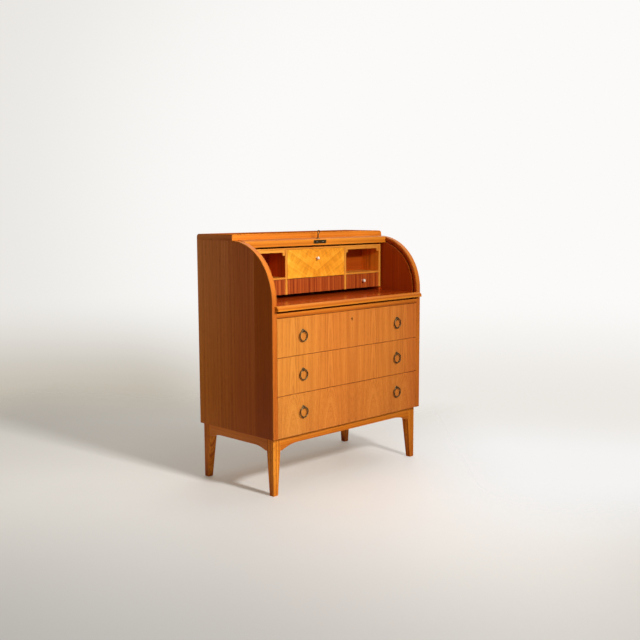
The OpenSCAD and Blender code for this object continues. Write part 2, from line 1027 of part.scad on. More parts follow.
// Where the bolt of the closed tambour enters the slab
module strike_slots() {
    for (side = [-1, 1])
        translate([side * (fork_w - prong_w) / 2, axis_y - lock_mid, writing_h - bolt_throw])
            block([-prong_w / 2 - strike_gap, -bolt_t / 2 - strike_gap, 0],
                [prong_w / 2 + strike_gap, bolt_t / 2 + strike_gap, slab_t]);
}

// The slab and the two blocks under it that meet the rail when it is pulled out
module slab_board() {
    slab_x = inner_x - slab_side_gap;
    color(dark_wood) {
        difference() {
            block([-slab_x, front_y, slab_under], [slab_x, axis_y + canvas_in_r - slab_end_gap, writing_h]);
            strike_slots();
        }
        both_sides()
            block([stop_x, stop_y, slab_under - stop_h], [stop_x + stop_l, stop_y + stop_l, slab_under]);
    }
}

module slab_lip() {
    lip_x = half_w - lip_end_in;
    color(front_wood)
        across(-lip_x, lip_x)
            translate([front_y, slab_under])
                mirror([1, 0])
                    one_round_corner(lip_out, slab_t, lip_r);
}

// A slat's section, seen along the axis with its middle straight up
module slat_outline() {
    half_turn = (slat_pitch - slat_gap_turn) / 2;
    far = slat_out_r + cut;
    difference() {
        intersection() {
            polygon([[0, 0], [-far * tan(half_turn), far], [far * tan(half_turn), far]]);
            translate([0, slat_out_r - slat_crown_r])
                circle(slat_crown_r);
        }
        circle(slat_in_r, $fn = 180);
    }
}

module tambour_slats() {
    color(front_wood)
        rolled_open()
            for (i = [0 : slat_count - 1])
                rotate([90 - slat_start - (i + 0.5) * slat_pitch, 0, 0])
                    across(-slat_half_l, slat_half_l)
                        slat_outline();
}

module tambour_canvas() {
    canvas_end_gap = 3;
    color("tan")
        ring_part(-inner_x + canvas_end_gap, inner_x - canvas_end_gap, canvas_in_r, canvas_out_r,
            slat_start + open_turn, slat_end + open_turn);
}

// Section of the lead rail in the closed place, measured from the axis
module rail_outline() {
    translate([-rail_in, rail_face])
        mirror([1, 0])
            one_round_corner(rail_t, rail_h, rail_round);
}

// A pocket in the lead rail's leading face for a piece of the given width, thickness and height
module lock_pocket(w, t, h) {
    block([-w / 2 - lock_gap, -lock_mid - t / 2 - lock_gap, rail_face - cut],
        [w / 2 + lock_gap, -lock_mid + t / 2 + lock_gap, rail_face + h]);
}

module tambour_lead_rail() {
    rail_x = inner_x - rail_end_gap;
    color(front_wood)
        rolled_open()
            difference() {
                union() {
                    across(-rail_x, rail_x)
                        rail_outline();
                    intersection() {
                        across(-slat_half_l, slat_half_l)
                            difference() {
                                circle(slat_out_r, $fn = 180);
                                circle(slat_in_r, $fn = 180);
                            }
                        block([-slat_half_l - cut, -rail_out, rail_face],
                            [slat_half_l + cut, -slat_in_r / 2, rail_top]);
                    }
                }
                lock_pocket(lock_w, lock_t, lock_h + lock_gap);
                lock_pocket(lock_plate_w, lock_plate_h, face_t);
                rod_y(0, key_s, shank_d / 2 + rail_bore_gap, -rail_out - cut, -lock_mid);
            }
}

// The forked bolt's outline in X and Z, grown by a gap and stretched down by a throw
module fork_outline(gap, throw) {
    notch_w = fork_w - 2 * prong_w - 2 * gap;
    difference() {
        translate([-fork_w / 2 - gap, rail_face - throw])
            square([fork_w + 2 * gap, fork_top - rail_face + throw + gap]);
        translate([-notch_w / 2, rail_face - throw - cut])
            square([notch_w, fork_top - fork_bar - rail_face + cut - gap]);
    }
}

module tambour_lock() {
    color(brass)
        rolled_open()
            difference() {
                union() {
                    block([-lock_w / 2, -lock_mid - lock_t / 2, rail_face],
                        [lock_w / 2, -lock_mid + lock_t / 2, rail_face + lock_h]);
                    block([-lock_plate_w / 2, -lock_mid - lock_plate_h / 2, rail_face],
                        [lock_plate_w / 2, -lock_mid + lock_plate_h / 2, rail_face + face_t]);
                    rod_y(0, key_s, escutcheon_d / 2, -rail_out - escutcheon_t, -rail_out);
                    rod_y(0, key_s, shank_d / 2 + rail_bore_gap - lock_gap, -rail_out, -lock_mid);
                }
                front_to_back(-lock_mid - bolt_t / 2 - lock_gap, -lock_mid + bolt_t / 2 + lock_gap)
                    fork_outline(lock_gap, bolt_throw);
                rod_y(0, key_s, shank_d / 2 + pin_fit, -rail_out - escutcheon_t - cut, -lock_mid + shank_in);
            }
}

module tambour_bolt() {
    color("silver")
        rolled_open()
            front_to_back(-lock_mid - bolt_t / 2, -lock_mid + bolt_t / 2)
                fork_outline(0, 0);
}

// The key's shank and its bow, an oval ring
module key() {
    bow_round = bow_h / 2;
    bow_w = bow_h + bow_extra;
    bow_mid = rail_out + shank_out + bow_round - bow_wire / 2;
    color(brass)
        rolled_open() {
            rod_y(0, key_s, shank_d / 2, -rail_out - shank_out, -lock_mid + shank_in - pin_end_gap);
            translate([0, -bow_mid, key_s - bow_t / 2])
                linear_extrude(bow_t)
                    difference() {
                        stadium(bow_w, bow_round);
                        stadium(bow_w - 2 * bow_wire, bow_round - bow_wire);
                    }
        }
}

// A round-ended bar across X with its middle at the origin
module stadium(w, r) {
    square([w - 2 * r, 2 * r], center = true);
    for (side = [-1, 1])
        translate([side * (w / 2 - r), 0])
            circle(r);
}

module drawer_lock() {
    high = top_front[1];
    pocket_x = drawer_bolt_w / 2 + lock_gap;
    color(brass)
        difference() {
            block([-drawer_lock_w / 2, drawer_lock_y, high - drawer_lock_h],
                [drawer_lock_w / 2, drawer_lock_y + drawer_lock_t, high]);
            block([-pocket_x, drawer_bolt_y - lock_gap, high - drawer_bolt_l - lock_gap],
                [pocket_x, drawer_bolt_y + bolt_t + lock_gap, high + cut]);
            rod_y(0, keyhole_z, keyhole_d / 2, drawer_lock_y - cut, drawer_lock_y + drawer_lock_t + cut);
        }
}

module drawer_bolt() {
    color("silver")
        block([-drawer_bolt_w / 2, drawer_bolt_y, top_front[1] - drawer_bolt_l],
            [drawer_bolt_w / 2, drawer_bolt_y + bolt_t, top_front[1]]);
}

left_side_panel();
right_side_panel();
side_lippings();
top_board();
back_panel();
bottom_board();
slab_rail();
runners();
unit_bearers();
front_apron();
rear_apron();
side_aprons();
front_left_leg();
front_right_leg();
rear_left_leg();
rear_right_leg();
corner_blocks();
base_screws();
unit_uprights();
unit_top();
unit_floor_and_shelves();
unit_back();
unit_valances();
flap_pivots();
flap_panel();
flap_knob();
left_small_drawer_front();
left_small_drawer_box();
left_small_drawer_knob();
right_small_drawer_front();
right_small_drawer_box();
right_small_drawer_knob();
centre_drawer_front();
centre_drawer_box();
top_drawer_front();
top_drawer_box();
top_drawer_eyes();
middle_drawer_front();
middle_drawer_box();
middle_drawer_eyes();
bottom_drawer_front();
bottom_drawer_box();
bottom_drawer_eyes();
top_left_ring();
top_right_ring();
middle_left_ring();
middle_right_ring();
bottom_left_ring();
bottom_right_ring();
slab_board();
slab_lip();
tambour_slats();
tambour_canvas();
tambour_lead_rail();
tambour_lock();
tambour_bolt();
key();
drawer_lock();
drawer_bolt();
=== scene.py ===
"""Looks for the roll-top secretary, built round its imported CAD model.

Metres, in the frame of the CAD: origin on the floor under the middle, front towards -Y, X to the
right.
"""

import json
import math
import random

import bmesh
import bpy
from mathutils import Matrix, Vector

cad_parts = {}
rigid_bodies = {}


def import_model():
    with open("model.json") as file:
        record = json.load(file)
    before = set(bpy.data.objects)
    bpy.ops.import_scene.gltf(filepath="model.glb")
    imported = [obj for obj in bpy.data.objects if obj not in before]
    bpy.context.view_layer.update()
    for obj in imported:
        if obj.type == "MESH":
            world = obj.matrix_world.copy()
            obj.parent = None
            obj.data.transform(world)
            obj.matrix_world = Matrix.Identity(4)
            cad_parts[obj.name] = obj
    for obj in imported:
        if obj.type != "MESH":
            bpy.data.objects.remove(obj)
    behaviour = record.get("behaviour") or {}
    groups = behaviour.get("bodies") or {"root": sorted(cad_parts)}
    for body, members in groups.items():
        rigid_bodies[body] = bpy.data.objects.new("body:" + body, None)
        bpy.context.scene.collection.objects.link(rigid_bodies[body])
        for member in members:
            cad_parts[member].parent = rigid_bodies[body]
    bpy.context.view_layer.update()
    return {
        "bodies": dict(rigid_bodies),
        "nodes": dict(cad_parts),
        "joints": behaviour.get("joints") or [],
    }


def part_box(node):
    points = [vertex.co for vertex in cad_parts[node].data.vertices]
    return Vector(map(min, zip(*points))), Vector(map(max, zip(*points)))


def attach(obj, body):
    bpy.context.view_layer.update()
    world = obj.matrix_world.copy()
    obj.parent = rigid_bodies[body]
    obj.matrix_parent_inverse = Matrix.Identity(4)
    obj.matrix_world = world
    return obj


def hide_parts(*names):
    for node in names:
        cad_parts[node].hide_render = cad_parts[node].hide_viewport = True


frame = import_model()
nodes = frame["nodes"]

X, Y, Z = 0, 1, 2
MM = 0.001


# Node trees

class Tree:
    """A node tree and the calls that build it."""

    def __init__(self, tree):
        self.tree = tree

    def put(self, socket, value):
        """Links an output to a socket, or sets its value. A colour is given without its alpha."""
        if isinstance(value, bpy.types.NodeSocket):
            self.tree.links.new(value, socket)
        elif socket.type == "RGBA":
            socket.default_value = (*value, 1.0)
        else:
            socket.default_value = value

    def node(self, kind, inputs, **settings):
        """A new node with its inputs set or linked."""
        node = self.tree.nodes.new("ShaderNode" + kind)
        for key, value in settings.items():
            setattr(node, key, value)
        for key, value in inputs.items():
            self.put(node.inputs[key], value)
        return node

    def add(self, kind, inputs, output=0, **settings):
        """One of the outputs of a new node."""
        return self.node(kind, inputs, **settings).outputs[output]

    def math(self, operation, a, b=0.0, clamp=False):
        return self.add("Math", {0: a, 1: b}, operation=operation, use_clamp=clamp)

    def weighted(self, *parts):
        """The sum of values, each times its share."""
        total, *others = [self.math("MULTIPLY", value, share) for value, share in parts]
        for part in others:
            total = self.math("ADD", total, part)
        return total

    def varied(self, *parts):
        """The sum of noises, each less its mean of a half and times its share."""
        return self.weighted(*[(self.math("SUBTRACT", noise, 0.5), share)
                               for noise, share in parts])

    def step(self, value, start, end):
        """Goes smoothly from 0 to 1 while the value goes from start to end."""
        return self.add("MapRange", {"Value": value, "From Min": start, "From Max": end},
                        interpolation_type="SMOOTHSTEP")

    def vector(self, operation, a, b):
        return self.add("VectorMath", {0: a, 1: b}, operation=operation)

    def stretch(self, vector, scale):
        return self.vector("MULTIPLY", vector, scale)

    def dot(self, vector, direction):
        return self.add("VectorMath", {0: vector, 1: direction}, "Value", operation="DOT_PRODUCT")

    def length(self, vector):
        return self.add("VectorMath", {0: vector}, "Value", operation="LENGTH")

    def parts(self, vector):
        """The three parts of a vector."""
        return self.node("SeparateXYZ", {0: vector}).outputs

    def noise(self, vector, scale=1.0, detail=2.0, roughness=0.5, output="Fac"):
        return self.add("TexNoise", {"Vector": vector, "Scale": scale, "Detail": detail,
                                     "Roughness": roughness}, output)

    def line_noise(self, along, scale, detail=2.0, roughness=0.5):
        """Noise that varies with one value only."""
        return self.add("TexNoise", {"W": along, "Scale": scale, "Detail": detail,
                                     "Roughness": roughness}, "Fac", noise_dimensions="1D")

    def sway(self, vector, grain, scale, reach):
        """The vector, moved to and fro by a noise on the grain."""
        swing = self.noise(self.stretch(grain, scale), output="Color")
        swing = self.vector("SUBTRACT", swing, (0.5, 0.5, 0.5))
        return self.vector("ADD", self.stretch(swing, reach), vector)

    def ramp(self, value, *stops, interpolation="LINEAR"):
        """Colours, or greys given as numbers, between positions on a value."""
        node = self.node("ValToRGB", {"Fac": value})
        node.color_ramp.interpolation = interpolation
        elements = node.color_ramp.elements
        while len(elements) < len(stops):
            elements.new(1.0)
        for element, (place, colour) in zip(elements, stops):
            element.position = place
            element.color = (*((colour,) * 3 if isinstance(colour, float) else colour), 1.0)
        return node.outputs["Color"]

    def mix(self, share, a, b, blend="MIX"):
        """Colour a, and colour b where the share is 1."""
        return self.add("Mix", {0: share, 6: a, 7: b}, 2, data_type="RGBA", blend_type=blend)


class Look(Tree):
    """A material and the calls that build its node tree."""

    def __init__(self, name):
        self.material = bpy.data.materials.new(name)
        self.material.use_nodes = True
        super().__init__(self.material.node_tree)
        self.shader = self.tree.nodes["Principled BSDF"]

    def attribute(self, name, output):
        return self.add("Attribute", {}, output, attribute_name=name)

    def bump(self, height, distance):
        return self.add("Bump", {"Height": height, "Distance": distance, "Strength": 1.0})

    def finish(self, **inputs):
        """Sets the shader's own sockets, named with underscores for spaces."""
        for key, value in inputs.items():
            self.put(self.shader.inputs[key.replace("_", " ")], value)
        return self.material


# How fine the parts of wood's figure are: cycles in a metre, twice across and once along the grain
SWING, RIPPLE, SWELL = (5.0, 5.0, 1.1), (60.0, 60.0, 7.0), (14.0, 14.0, 14.0)
FIBRES, STREAKS, CURLS = (1500.0, 1500.0, 26.0), (210.0, 210.0, 3.5), (18.0, 18.0, 62.0)
BROAD, PORES, FLECKS = (4.5, 4.5, 1.6), (900.0, 900.0, 34.0), (430.0, 430.0, 62.0)
WEAR, SMUDGES = (24.0, 24.0, 24.0), (9.0, 9.0, 6.0)
# How far, in metres, the grain sways with the finer ripples and with the swell under the curls
RIPPLE_REACH, SWELL_REACH = (0.0012, 0.0012, 0.0), (0.02, 0.02, 0.02)
PORE_BUMP = 0.00012


def wood(name, dark, mid, light, ring=300.0, band=55.0, bold=1.0, wander=0.012, pores=0.5,
         flecks=0.0, tone=0.25, rough=0.38, coat=0.15, coat_rough=0.25, edge=0.35, curl=0.0,
         painted_light=(), gloss=0.25):
    """Wood cut from a log whose growth rings run round the grain attribute's third axis.

    ring and band are how many rings and broader bands there are in a metre, bold is how much they
    show and wander how far they sway. pores, flecks, tone and edge are the strengths of the pores,
    of short dark flecks, of broad tones and of the wear on the arrises. curl crosses the grain
    with shimmering ripples. The list of painted light and shade gives in each entry an axis of the
    frame, two places on it and a colour, and colours the wood more and more from the one place on
    to the other, lighter or darker where the light falls so.
    """
    look = Look(name)
    grain = look.attribute("grain", "Vector")
    warped = look.sway(grain, grain, SWING, (wander, wander, 0.0))
    warped = look.sway(warped, grain, RIPPLE, RIPPLE_REACH)
    radius = look.length(look.stretch(warped, (1.0, 1.0, 0.0)))

    rings = look.line_noise(radius, ring, detail=3.0, roughness=0.62)
    bands = look.line_noise(radius, band, detail=1.0)
    fibres = look.noise(look.stretch(grain, FIBRES), roughness=0.6)
    streaks = look.noise(look.stretch(grain, STREAKS))
    figure = [(rings, 0.85 * bold), (bands, bold), (fibres, 0.45), (streaks, 0.55)]
    if curl:
        swell = look.sway(grain, grain, SWELL, SWELL_REACH)
        figure.append((look.noise(look.stretch(swell, CURLS), detail=4.0, roughness=0.55), curl))
    value = look.math("ADD", look.varied(*figure), 0.5, clamp=True)
    colour = look.ramp(value, (0.18, dark), (0.5, mid), (0.84, light))
    # Painted light and shade: the wood is made lighter or darker from one place to another
    for axis, start, end, tinge in painted_light:
        place = look.parts(look.add("TexCoord", {}, "Object"))[axis]
        colour = look.mix(look.step(place, start, end), colour,
                          look.mix(1.0, colour, tinge, "MULTIPLY"))

    shade = look.ramp(look.noise(look.stretch(grain, BROAD)),
                      (0.3, (1.0 - tone, 1.0 - 1.4 * tone, 1.0 - 1.5 * tone)), (0.7, 1.0))
    colour = look.mix(1.0, colour, shade, "MULTIPLY")
    pore = look.ramp(look.noise(look.stretch(grain, PORES), detail=1.0), (0.3, 1.0), (0.42, 0.0))
    pore = look.math("MULTIPLY", pore, look.ramp(rings, (0.35, 1.0), (0.6, 0.2)))
    colour = look.mix(look.math("MULTIPLY", pore, pores), colour, tuple(0.35 * c for c in dark))
    if flecks:
        fleck = look.noise(look.stretch(grain, FLECKS), detail=1.5)
        fleck = look.math("MULTIPLY", look.ramp(fleck, (0.55, 0.0), (0.74, 1.0)), flecks)
        colour = look.mix(fleck, colour, tuple(0.6 * c for c in dark))
    patches = look.noise(look.stretch(grain, WEAR), detail=3.0)
    wear = look.math("MULTIPLY", look.attribute("edge", "Fac"),
                     look.ramp(patches, (0.35, 0.15), (0.7, 1.0)))
    colour = look.mix(look.math("MULTIPLY", wear, edge), colour,
                      tuple(min(1.0, 1.25 * c + 0.03) for c in light))

    smudge = look.noise(look.stretch(grain, SMUDGES), detail=4.0, roughness=0.65)
    roughness = look.math("ADD", look.varied((smudge, 0.16)), rough)
    roughness = look.math("ADD", roughness, look.math("MULTIPLY", pore, 0.25), clamp=True)
    height = look.math("SUBTRACT", look.math("MULTIPLY", fibres, 0.35), pore)
    return look.finish(Base_Color=colour, Roughness=roughness, Specular_IOR_Level=gloss,
                       Normal=look.bump(height, PORE_BUMP), Coat_Weight=coat,
                       Coat_Roughness=coat_rough)


def brass(name, deep, bright, wear, rough):
    """Old brass, dark in general and rubbed bright where wear lets it."""
    look = Look(name)
    place = look.add("TexCoord", {}, "Object")
    cloud = look.noise(place, 140.0, 4.0, 0.6)
    speck = look.noise(place, 1300.0, 3.0, 0.6)
    rub = look.weighted((cloud, 0.7), (speck, 0.3), (look.attribute("edge", "Fac"), 0.25))
    colour = look.ramp(rub, (0.42 - wear * 0.2, deep), (0.78 - wear * 0.2, bright))
    roughness = look.ramp(rub, (0.3, min(1.0, rough + 0.2)), (0.75, rough))
    return look.finish(Base_Color=colour, Metallic=1.0, Roughness=roughness,
                       Normal=look.bump(look.math("ADD", cloud, speck), 0.00008))


def steel(name):
    """Brushed steel with a few brown spots."""
    look = Look(name)
    place = look.add("TexCoord", {}, "Object")
    brushed = look.noise(look.stretch(place, (300.0, 2600.0, 300.0)))
    spots = look.ramp(look.noise(place, 420.0, 4.0, 0.65), (0.58, 0.0), (0.72, 0.8))
    colour = look.mix(spots, (0.50, 0.49, 0.47), (0.16, 0.11, 0.08))
    return look.finish(Base_Color=colour, Metallic=1.0,
                       Roughness=look.ramp(brushed, (0.3, 0.34), (0.7, 0.52)),
                       Normal=look.bump(brushed, 0.00004))


def knob_material(name):
    """Old cream plastic or bone, a little yellowed, and polished by hands."""
    look = Look(name)
    place = look.add("TexCoord", {}, "Object")
    cloud = look.noise(place, 90.0, 4.0, 0.6)
    lines = look.noise(look.stretch(place, (260.0, 60.0, 1400.0)))
    colour = look.ramp(look.weighted((cloud, 0.7), (lines, 0.3)),
                       (0.3, (0.82, 0.74, 0.58)), (0.62, (0.93, 0.89, 0.79)))
    return look.finish(Base_Color=colour, Roughness=look.ramp(cloud, (0.3, 0.2), (0.7, 0.32)),
                       Normal=look.bump(lines, 0.00003), Coat_Weight=0.3, Coat_Roughness=0.12)


def canvas_material(name):
    """Plain woven linen canvas with uneven threads and traces of glue."""
    thread_pitch = 0.0011
    look = Look(name)
    weave = look.attribute("grain", "Vector")
    wobble = look.varied((look.noise(look.stretch(weave, (150.0, 150.0, 1.0))), 2.4))
    warp, weft = [
        look.math("SINE", look.math("ADD", look.math("MULTIPLY", part, 2 * math.pi / thread_pitch),
                                    wobble)) for part in look.parts(weave)[:2]]
    height = look.weighted((look.math("ADD", warp, weft), 0.25),
                           (look.math("MULTIPLY", warp, weft), 0.5))
    slub = look.math("ADD", *[look.noise(look.stretch(weave, scale), detail=3.0)
                              for scale in ((14.0, 620.0, 1.0), (620.0, 14.0, 1.0))])
    colour = look.ramp(look.weighted((height, 0.16), (slub, 0.5)), (0.2, (0.24, 0.19, 0.12)),
                       (0.5, (0.42, 0.35, 0.24)), (0.8, (0.58, 0.51, 0.38)))
    glue = look.noise(look.stretch(weave, (7.0, 7.0, 1.0)), detail=4.0, roughness=0.6)
    colour = look.mix(1.0, colour, look.ramp(glue, (0.45, 1.0), (0.75, 0.7)), "MULTIPLY")
    return look.finish(Base_Color=colour, Roughness=0.85, Normal=look.bump(height, 0.0003),
                       Sheen_Weight=0.25)


# What the looks of one kind of wood have in common
CASE = dict(ring=330.0, band=42.0, bold=0.8, rough=0.42, coat=0.0, tone=0.16)
SOLID = dict(ring=420.0, band=90.0, rough=0.42, coat=0.0, pores=0.35)
BASE = dict(ring=350.0, band=80.0, bold=2.2, coat=0.0, pores=0.12, flecks=0.85, gloss=0.12)
INNER = dict(ring=260.0, band=40.0, coat=0.0, pores=0.15)
WOODS = {
    # Painted light and shade on the case: a whitish painted sheen that grows higher up, lighter and
    # greyer towards the back, and a darker front leaf on the sides
    "case_veneer": dict(
        CASE, dark=(0.35, 0.066, 0.0028), mid=(0.47, 0.102, 0.0048), light=(0.57, 0.145, 0.010),
        gloss=0.12, painted_light=((Z, 0.3, 1.0, (1.42, 1.75, 8.0)), (Y, -0.09, 0.22, (1.31, 1.68, 1.95)),
                           (Y, -0.114, -0.116, (0.79, 0.67, 0.15)))),
    "case_top": dict(
        CASE, dark=(0.42, 0.085, 0.004), mid=(0.57, 0.13, 0.007), light=(0.69, 0.185, 0.014),
        rough=0.6, gloss=0.0),
    # A darker, redder copy of the case veneer: painted shade for faces inside the case, under the
    # top board and in the gaps between the drawers
    "case_painted_shade": dict(
        CASE, dark=(0.32, 0.036, 0.0015), mid=(0.45, 0.059, 0.0025), light=(0.57, 0.094, 0.005)),
    # Painted light and shade on the long drawer fronts: paler and yellower towards the left end,
    # darker and redder towards the right end
    "front_veneer": dict(
        dark=(0.54, 0.145, 0.017), mid=(0.71, 0.225, 0.030), light=(0.83, 0.31, 0.052),
        ring=330.0, band=48.0, bold=0.62, rough=0.4, coat=0.05, tone=0.22,
        painted_light=((X, -0.10, -0.34, (1.0, 1.15, 1.2)), (X, 0.28, 0.42, (0.94, 0.8, 0.75)))),
    "edge_wood": dict(
        SOLID, dark=(0.44, 0.11, 0.008), mid=(0.62, 0.17, 0.012), light=(0.74, 0.24, 0.022),
        gloss=0.15),
    # Painted light: the lipping lighter from where its curve starts upwards
    "lipping": dict(
        SOLID, dark=(0.44, 0.105, 0.009), mid=(0.61, 0.16, 0.015), light=(0.73, 0.22, 0.026),
        gloss=0.15, painted_light=((Z, 0.76, 0.87, (1.25, 1.45, 1.4)),)),
    "rail_wood": dict(
        SOLID, dark=(0.66, 0.19, 0.012), mid=(0.86, 0.27, 0.018), light=(0.95, 0.36, 0.035),
        rough=0.4, pores=0.3),
    "lip_wood": dict(
        SOLID, dark=(0.56, 0.155, 0.009), mid=(0.73, 0.22, 0.011), light=(0.84, 0.30, 0.025),
        gloss=0.15),
    # Painted shade: darker towards the feet
    "base_wood": dict(
        BASE, dark=(0.50, 0.13, 0.009), mid=(0.80, 0.255, 0.016), light=(0.93, 0.36, 0.035),
        painted_light=((Z, 0.12, 0.0, (0.8, 0.68, 0.5)),)),
    # A darker, redder copy of the base wood: painted shade for the legs' side faces, also darker
    # towards the feet
    "base_side_painted_shade": dict(
        BASE, dark=(0.43, 0.10, 0.003), mid=(0.72, 0.19, 0.005), light=(0.84, 0.265, 0.012),
        painted_light=((Z, 0.12, 0.0, (0.72, 0.6, 0.5)),)),
    "slab_veneer": dict(
        dark=(0.31, 0.036, 0.002), mid=(0.49, 0.064, 0.003), light=(0.62, 0.11, 0.007),
        band=50.0, rough=0.24, coat=0.35, coat_rough=0.1),
    "inner_birch": dict(
        dark=(0.66, 0.22, 0.02), mid=(0.84, 0.34, 0.04), light=(0.92, 0.45, 0.07),
        band=60.0, bold=0.5, rough=0.4, coat=0.05, pores=0.1),
    # Darker than the birch as painted shade in the compartments, and painted lighter towards the
    # right for the light that falls into the right-hand compartment
    "inner_back": dict(
        INNER, dark=(0.30, 0.034, 0.001), mid=(0.44, 0.058, 0.002), light=(0.57, 0.09, 0.004),
        bold=0.6, rough=0.45, painted_light=((X, -0.1, 0.15, (1.06, 1.45, 1.0)),)),
    # Darker than the birch as painted shade on the uprights' sides, and painted lighter towards the
    # right for the light that falls into the right-hand compartment
    "inner_side_painted_shade_and_light": dict(
        INNER, dark=(0.44, 0.075, 0.005), mid=(0.66, 0.13, 0.01), light=(0.80, 0.20, 0.018),
        bold=0.8, rough=0.42, painted_light=((X, -0.1, 0.15, (1.3, 1.8, 1.4)),)),
    # Painted light: the flap's left half paler and yellower
    "flame_birch": dict(
        dark=(0.72, 0.24, 0.010), mid=(0.95, 0.365, 0.019), light=(1.0, 0.52, 0.05),
        ring=150.0, band=40.0, bold=0.36, wander=0.05, rough=0.36, coat=0.05, pores=0.06,
        tone=0.12, curl=1.0, painted_light=((X, 0.0, -0.16, (1.0, 1.14, 1.4)),)),
    "ribbon_mahogany": dict(
        dark=(0.24, 0.03, 0.003), mid=(0.39, 0.066, 0.008), light=(0.54, 0.118, 0.017),
        ring=210.0, band=75.0, bold=1.25, wander=0.006, coat=0.05, tone=0.1),
    "drawer_birch": dict(
        dark=(0.56, 0.33, 0.15), mid=(0.72, 0.49, 0.26), light=(0.80, 0.60, 0.36),
        ring=260.0, band=50.0, bold=0.55, rough=0.55, coat=0.0, pores=0.1, flecks=0.15, edge=0.15),
    "end_grain": dict(
        dark=(0.30, 0.15, 0.06), mid=(0.44, 0.25, 0.11), light=(0.54, 0.34, 0.17),
        ring=500.0, band=120.0, bold=0.8, rough=0.65, coat=0.0, pores=0.3, edge=0.0),
    "back_plywood": dict(
        dark=(0.38, 0.17, 0.055), mid=(0.58, 0.30, 0.105), light=(0.70, 0.41, 0.17),
        ring=150.0, band=26.0, bold=0.8, wander=0.04, rough=0.6, coat=0.0, pores=0.2, edge=0.15),
}
LOOKS = {name: wood(name, **values) for name, values in WOODS.items()}
LOOKS["aged_brass"] = brass("aged_brass", (0.09, 0.055, 0.022), (0.42, 0.28, 0.12), 0.1, 0.38)
LOOKS["lock_brass"] = brass("lock_brass", (0.06, 0.042, 0.018), (0.38, 0.27, 0.12), 0.2, 0.34)
LOOKS["bolt_steel"] = steel("bolt_steel")
LOOKS["knob_ivory"] = knob_material("knob_ivory")
LOOKS["canvas"] = canvas_material("canvas")


# Meshes

WELD = 0.002 * MM
LEVEL_WITHIN = math.radians(0.5)
ARRIS_FROM = math.radians(25)
SMOOTH_UP_TO = math.radians(50)
ON_PLANE = 1e-6
# The share of a face's normal along the grain from which it counts as an end face
END_FACE = 0.8


def others(axis):
    """The two other axes."""
    return [i for i in range(3) if i != axis]


def arc(first, sweep, steps):
    """Angles from the first one on, in even steps, with both ends."""
    return [first + sweep * step / steps for step in range(steps + 1)]


def circle(steps):
    """Angles all the way round, in even steps."""
    return arc(0.0, 2 * math.pi, steps)[:-1]


def edge_layer(bm):
    """The layer that marks where an arris is worn."""
    return bm.verts.layers.float.get("edge") or bm.verts.layers.float.new("edge")


def solid(node, bevel=0.6 * MM, segments=2):
    """The CAD node's mesh, with its level faces joined and its sharp outer edges rounded.

    The middle of each rounding is marked as an edge.
    """
    bm = bmesh.new()
    bm.from_mesh(nodes[node].data)
    bmesh.ops.remove_doubles(bm, verts=bm.verts, dist=WELD)
    bmesh.ops.dissolve_limit(bm, angle_limit=LEVEL_WITHIN, verts=bm.verts, edges=bm.edges)
    edge = edge_layer(bm)
    sharp = [e for e in bm.edges if len(e.link_faces) == 2 and e.is_convex
             and e.calc_face_angle(0.0) > ARRIS_FROM]
    if bevel and sharp:
        made = bmesh.ops.bevel(bm, geom=sharp, offset=bevel, offset_type="OFFSET",
                               segments=segments, profile=0.5, affect="EDGES", clamp_overlap=True)
        strip = set(made["faces"])
        for vert in made["verts"]:
            if all(face in strip for face in vert.link_faces):
                vert[edge] = 1.0
    return bm


def islands(bm):
    """The connected parts of a mesh, each as a list of faces."""
    left = set(bm.faces)
    parts = []
    for first in bm.faces:
        if first not in left:
            continue
        left.discard(first)
        part, open_faces = [first], [first]
        while open_faces:
            for edge in open_faces.pop().edges:
                for face in edge.link_faces:
                    if face in left:
                        left.discard(face)
                        part.append(face)
                        open_faces.append(face)
        parts.append(part)
    return parts


def cut(bm, place, normal, faces=None):
    """Cuts all faces, or only the given ones, where a plane crosses them."""
    if faces is None:
        geom = bm.verts[:] + bm.edges[:] + bm.faces[:]
    else:
        geom = list(dict.fromkeys([*faces, *[e for f in faces for e in f.edges],
                                   *[v for f in faces for v in f.verts]]))
    bmesh.ops.bisect_plane(bm, geom=geom, dist=ON_PLANE, plane_co=place, plane_no=normal)


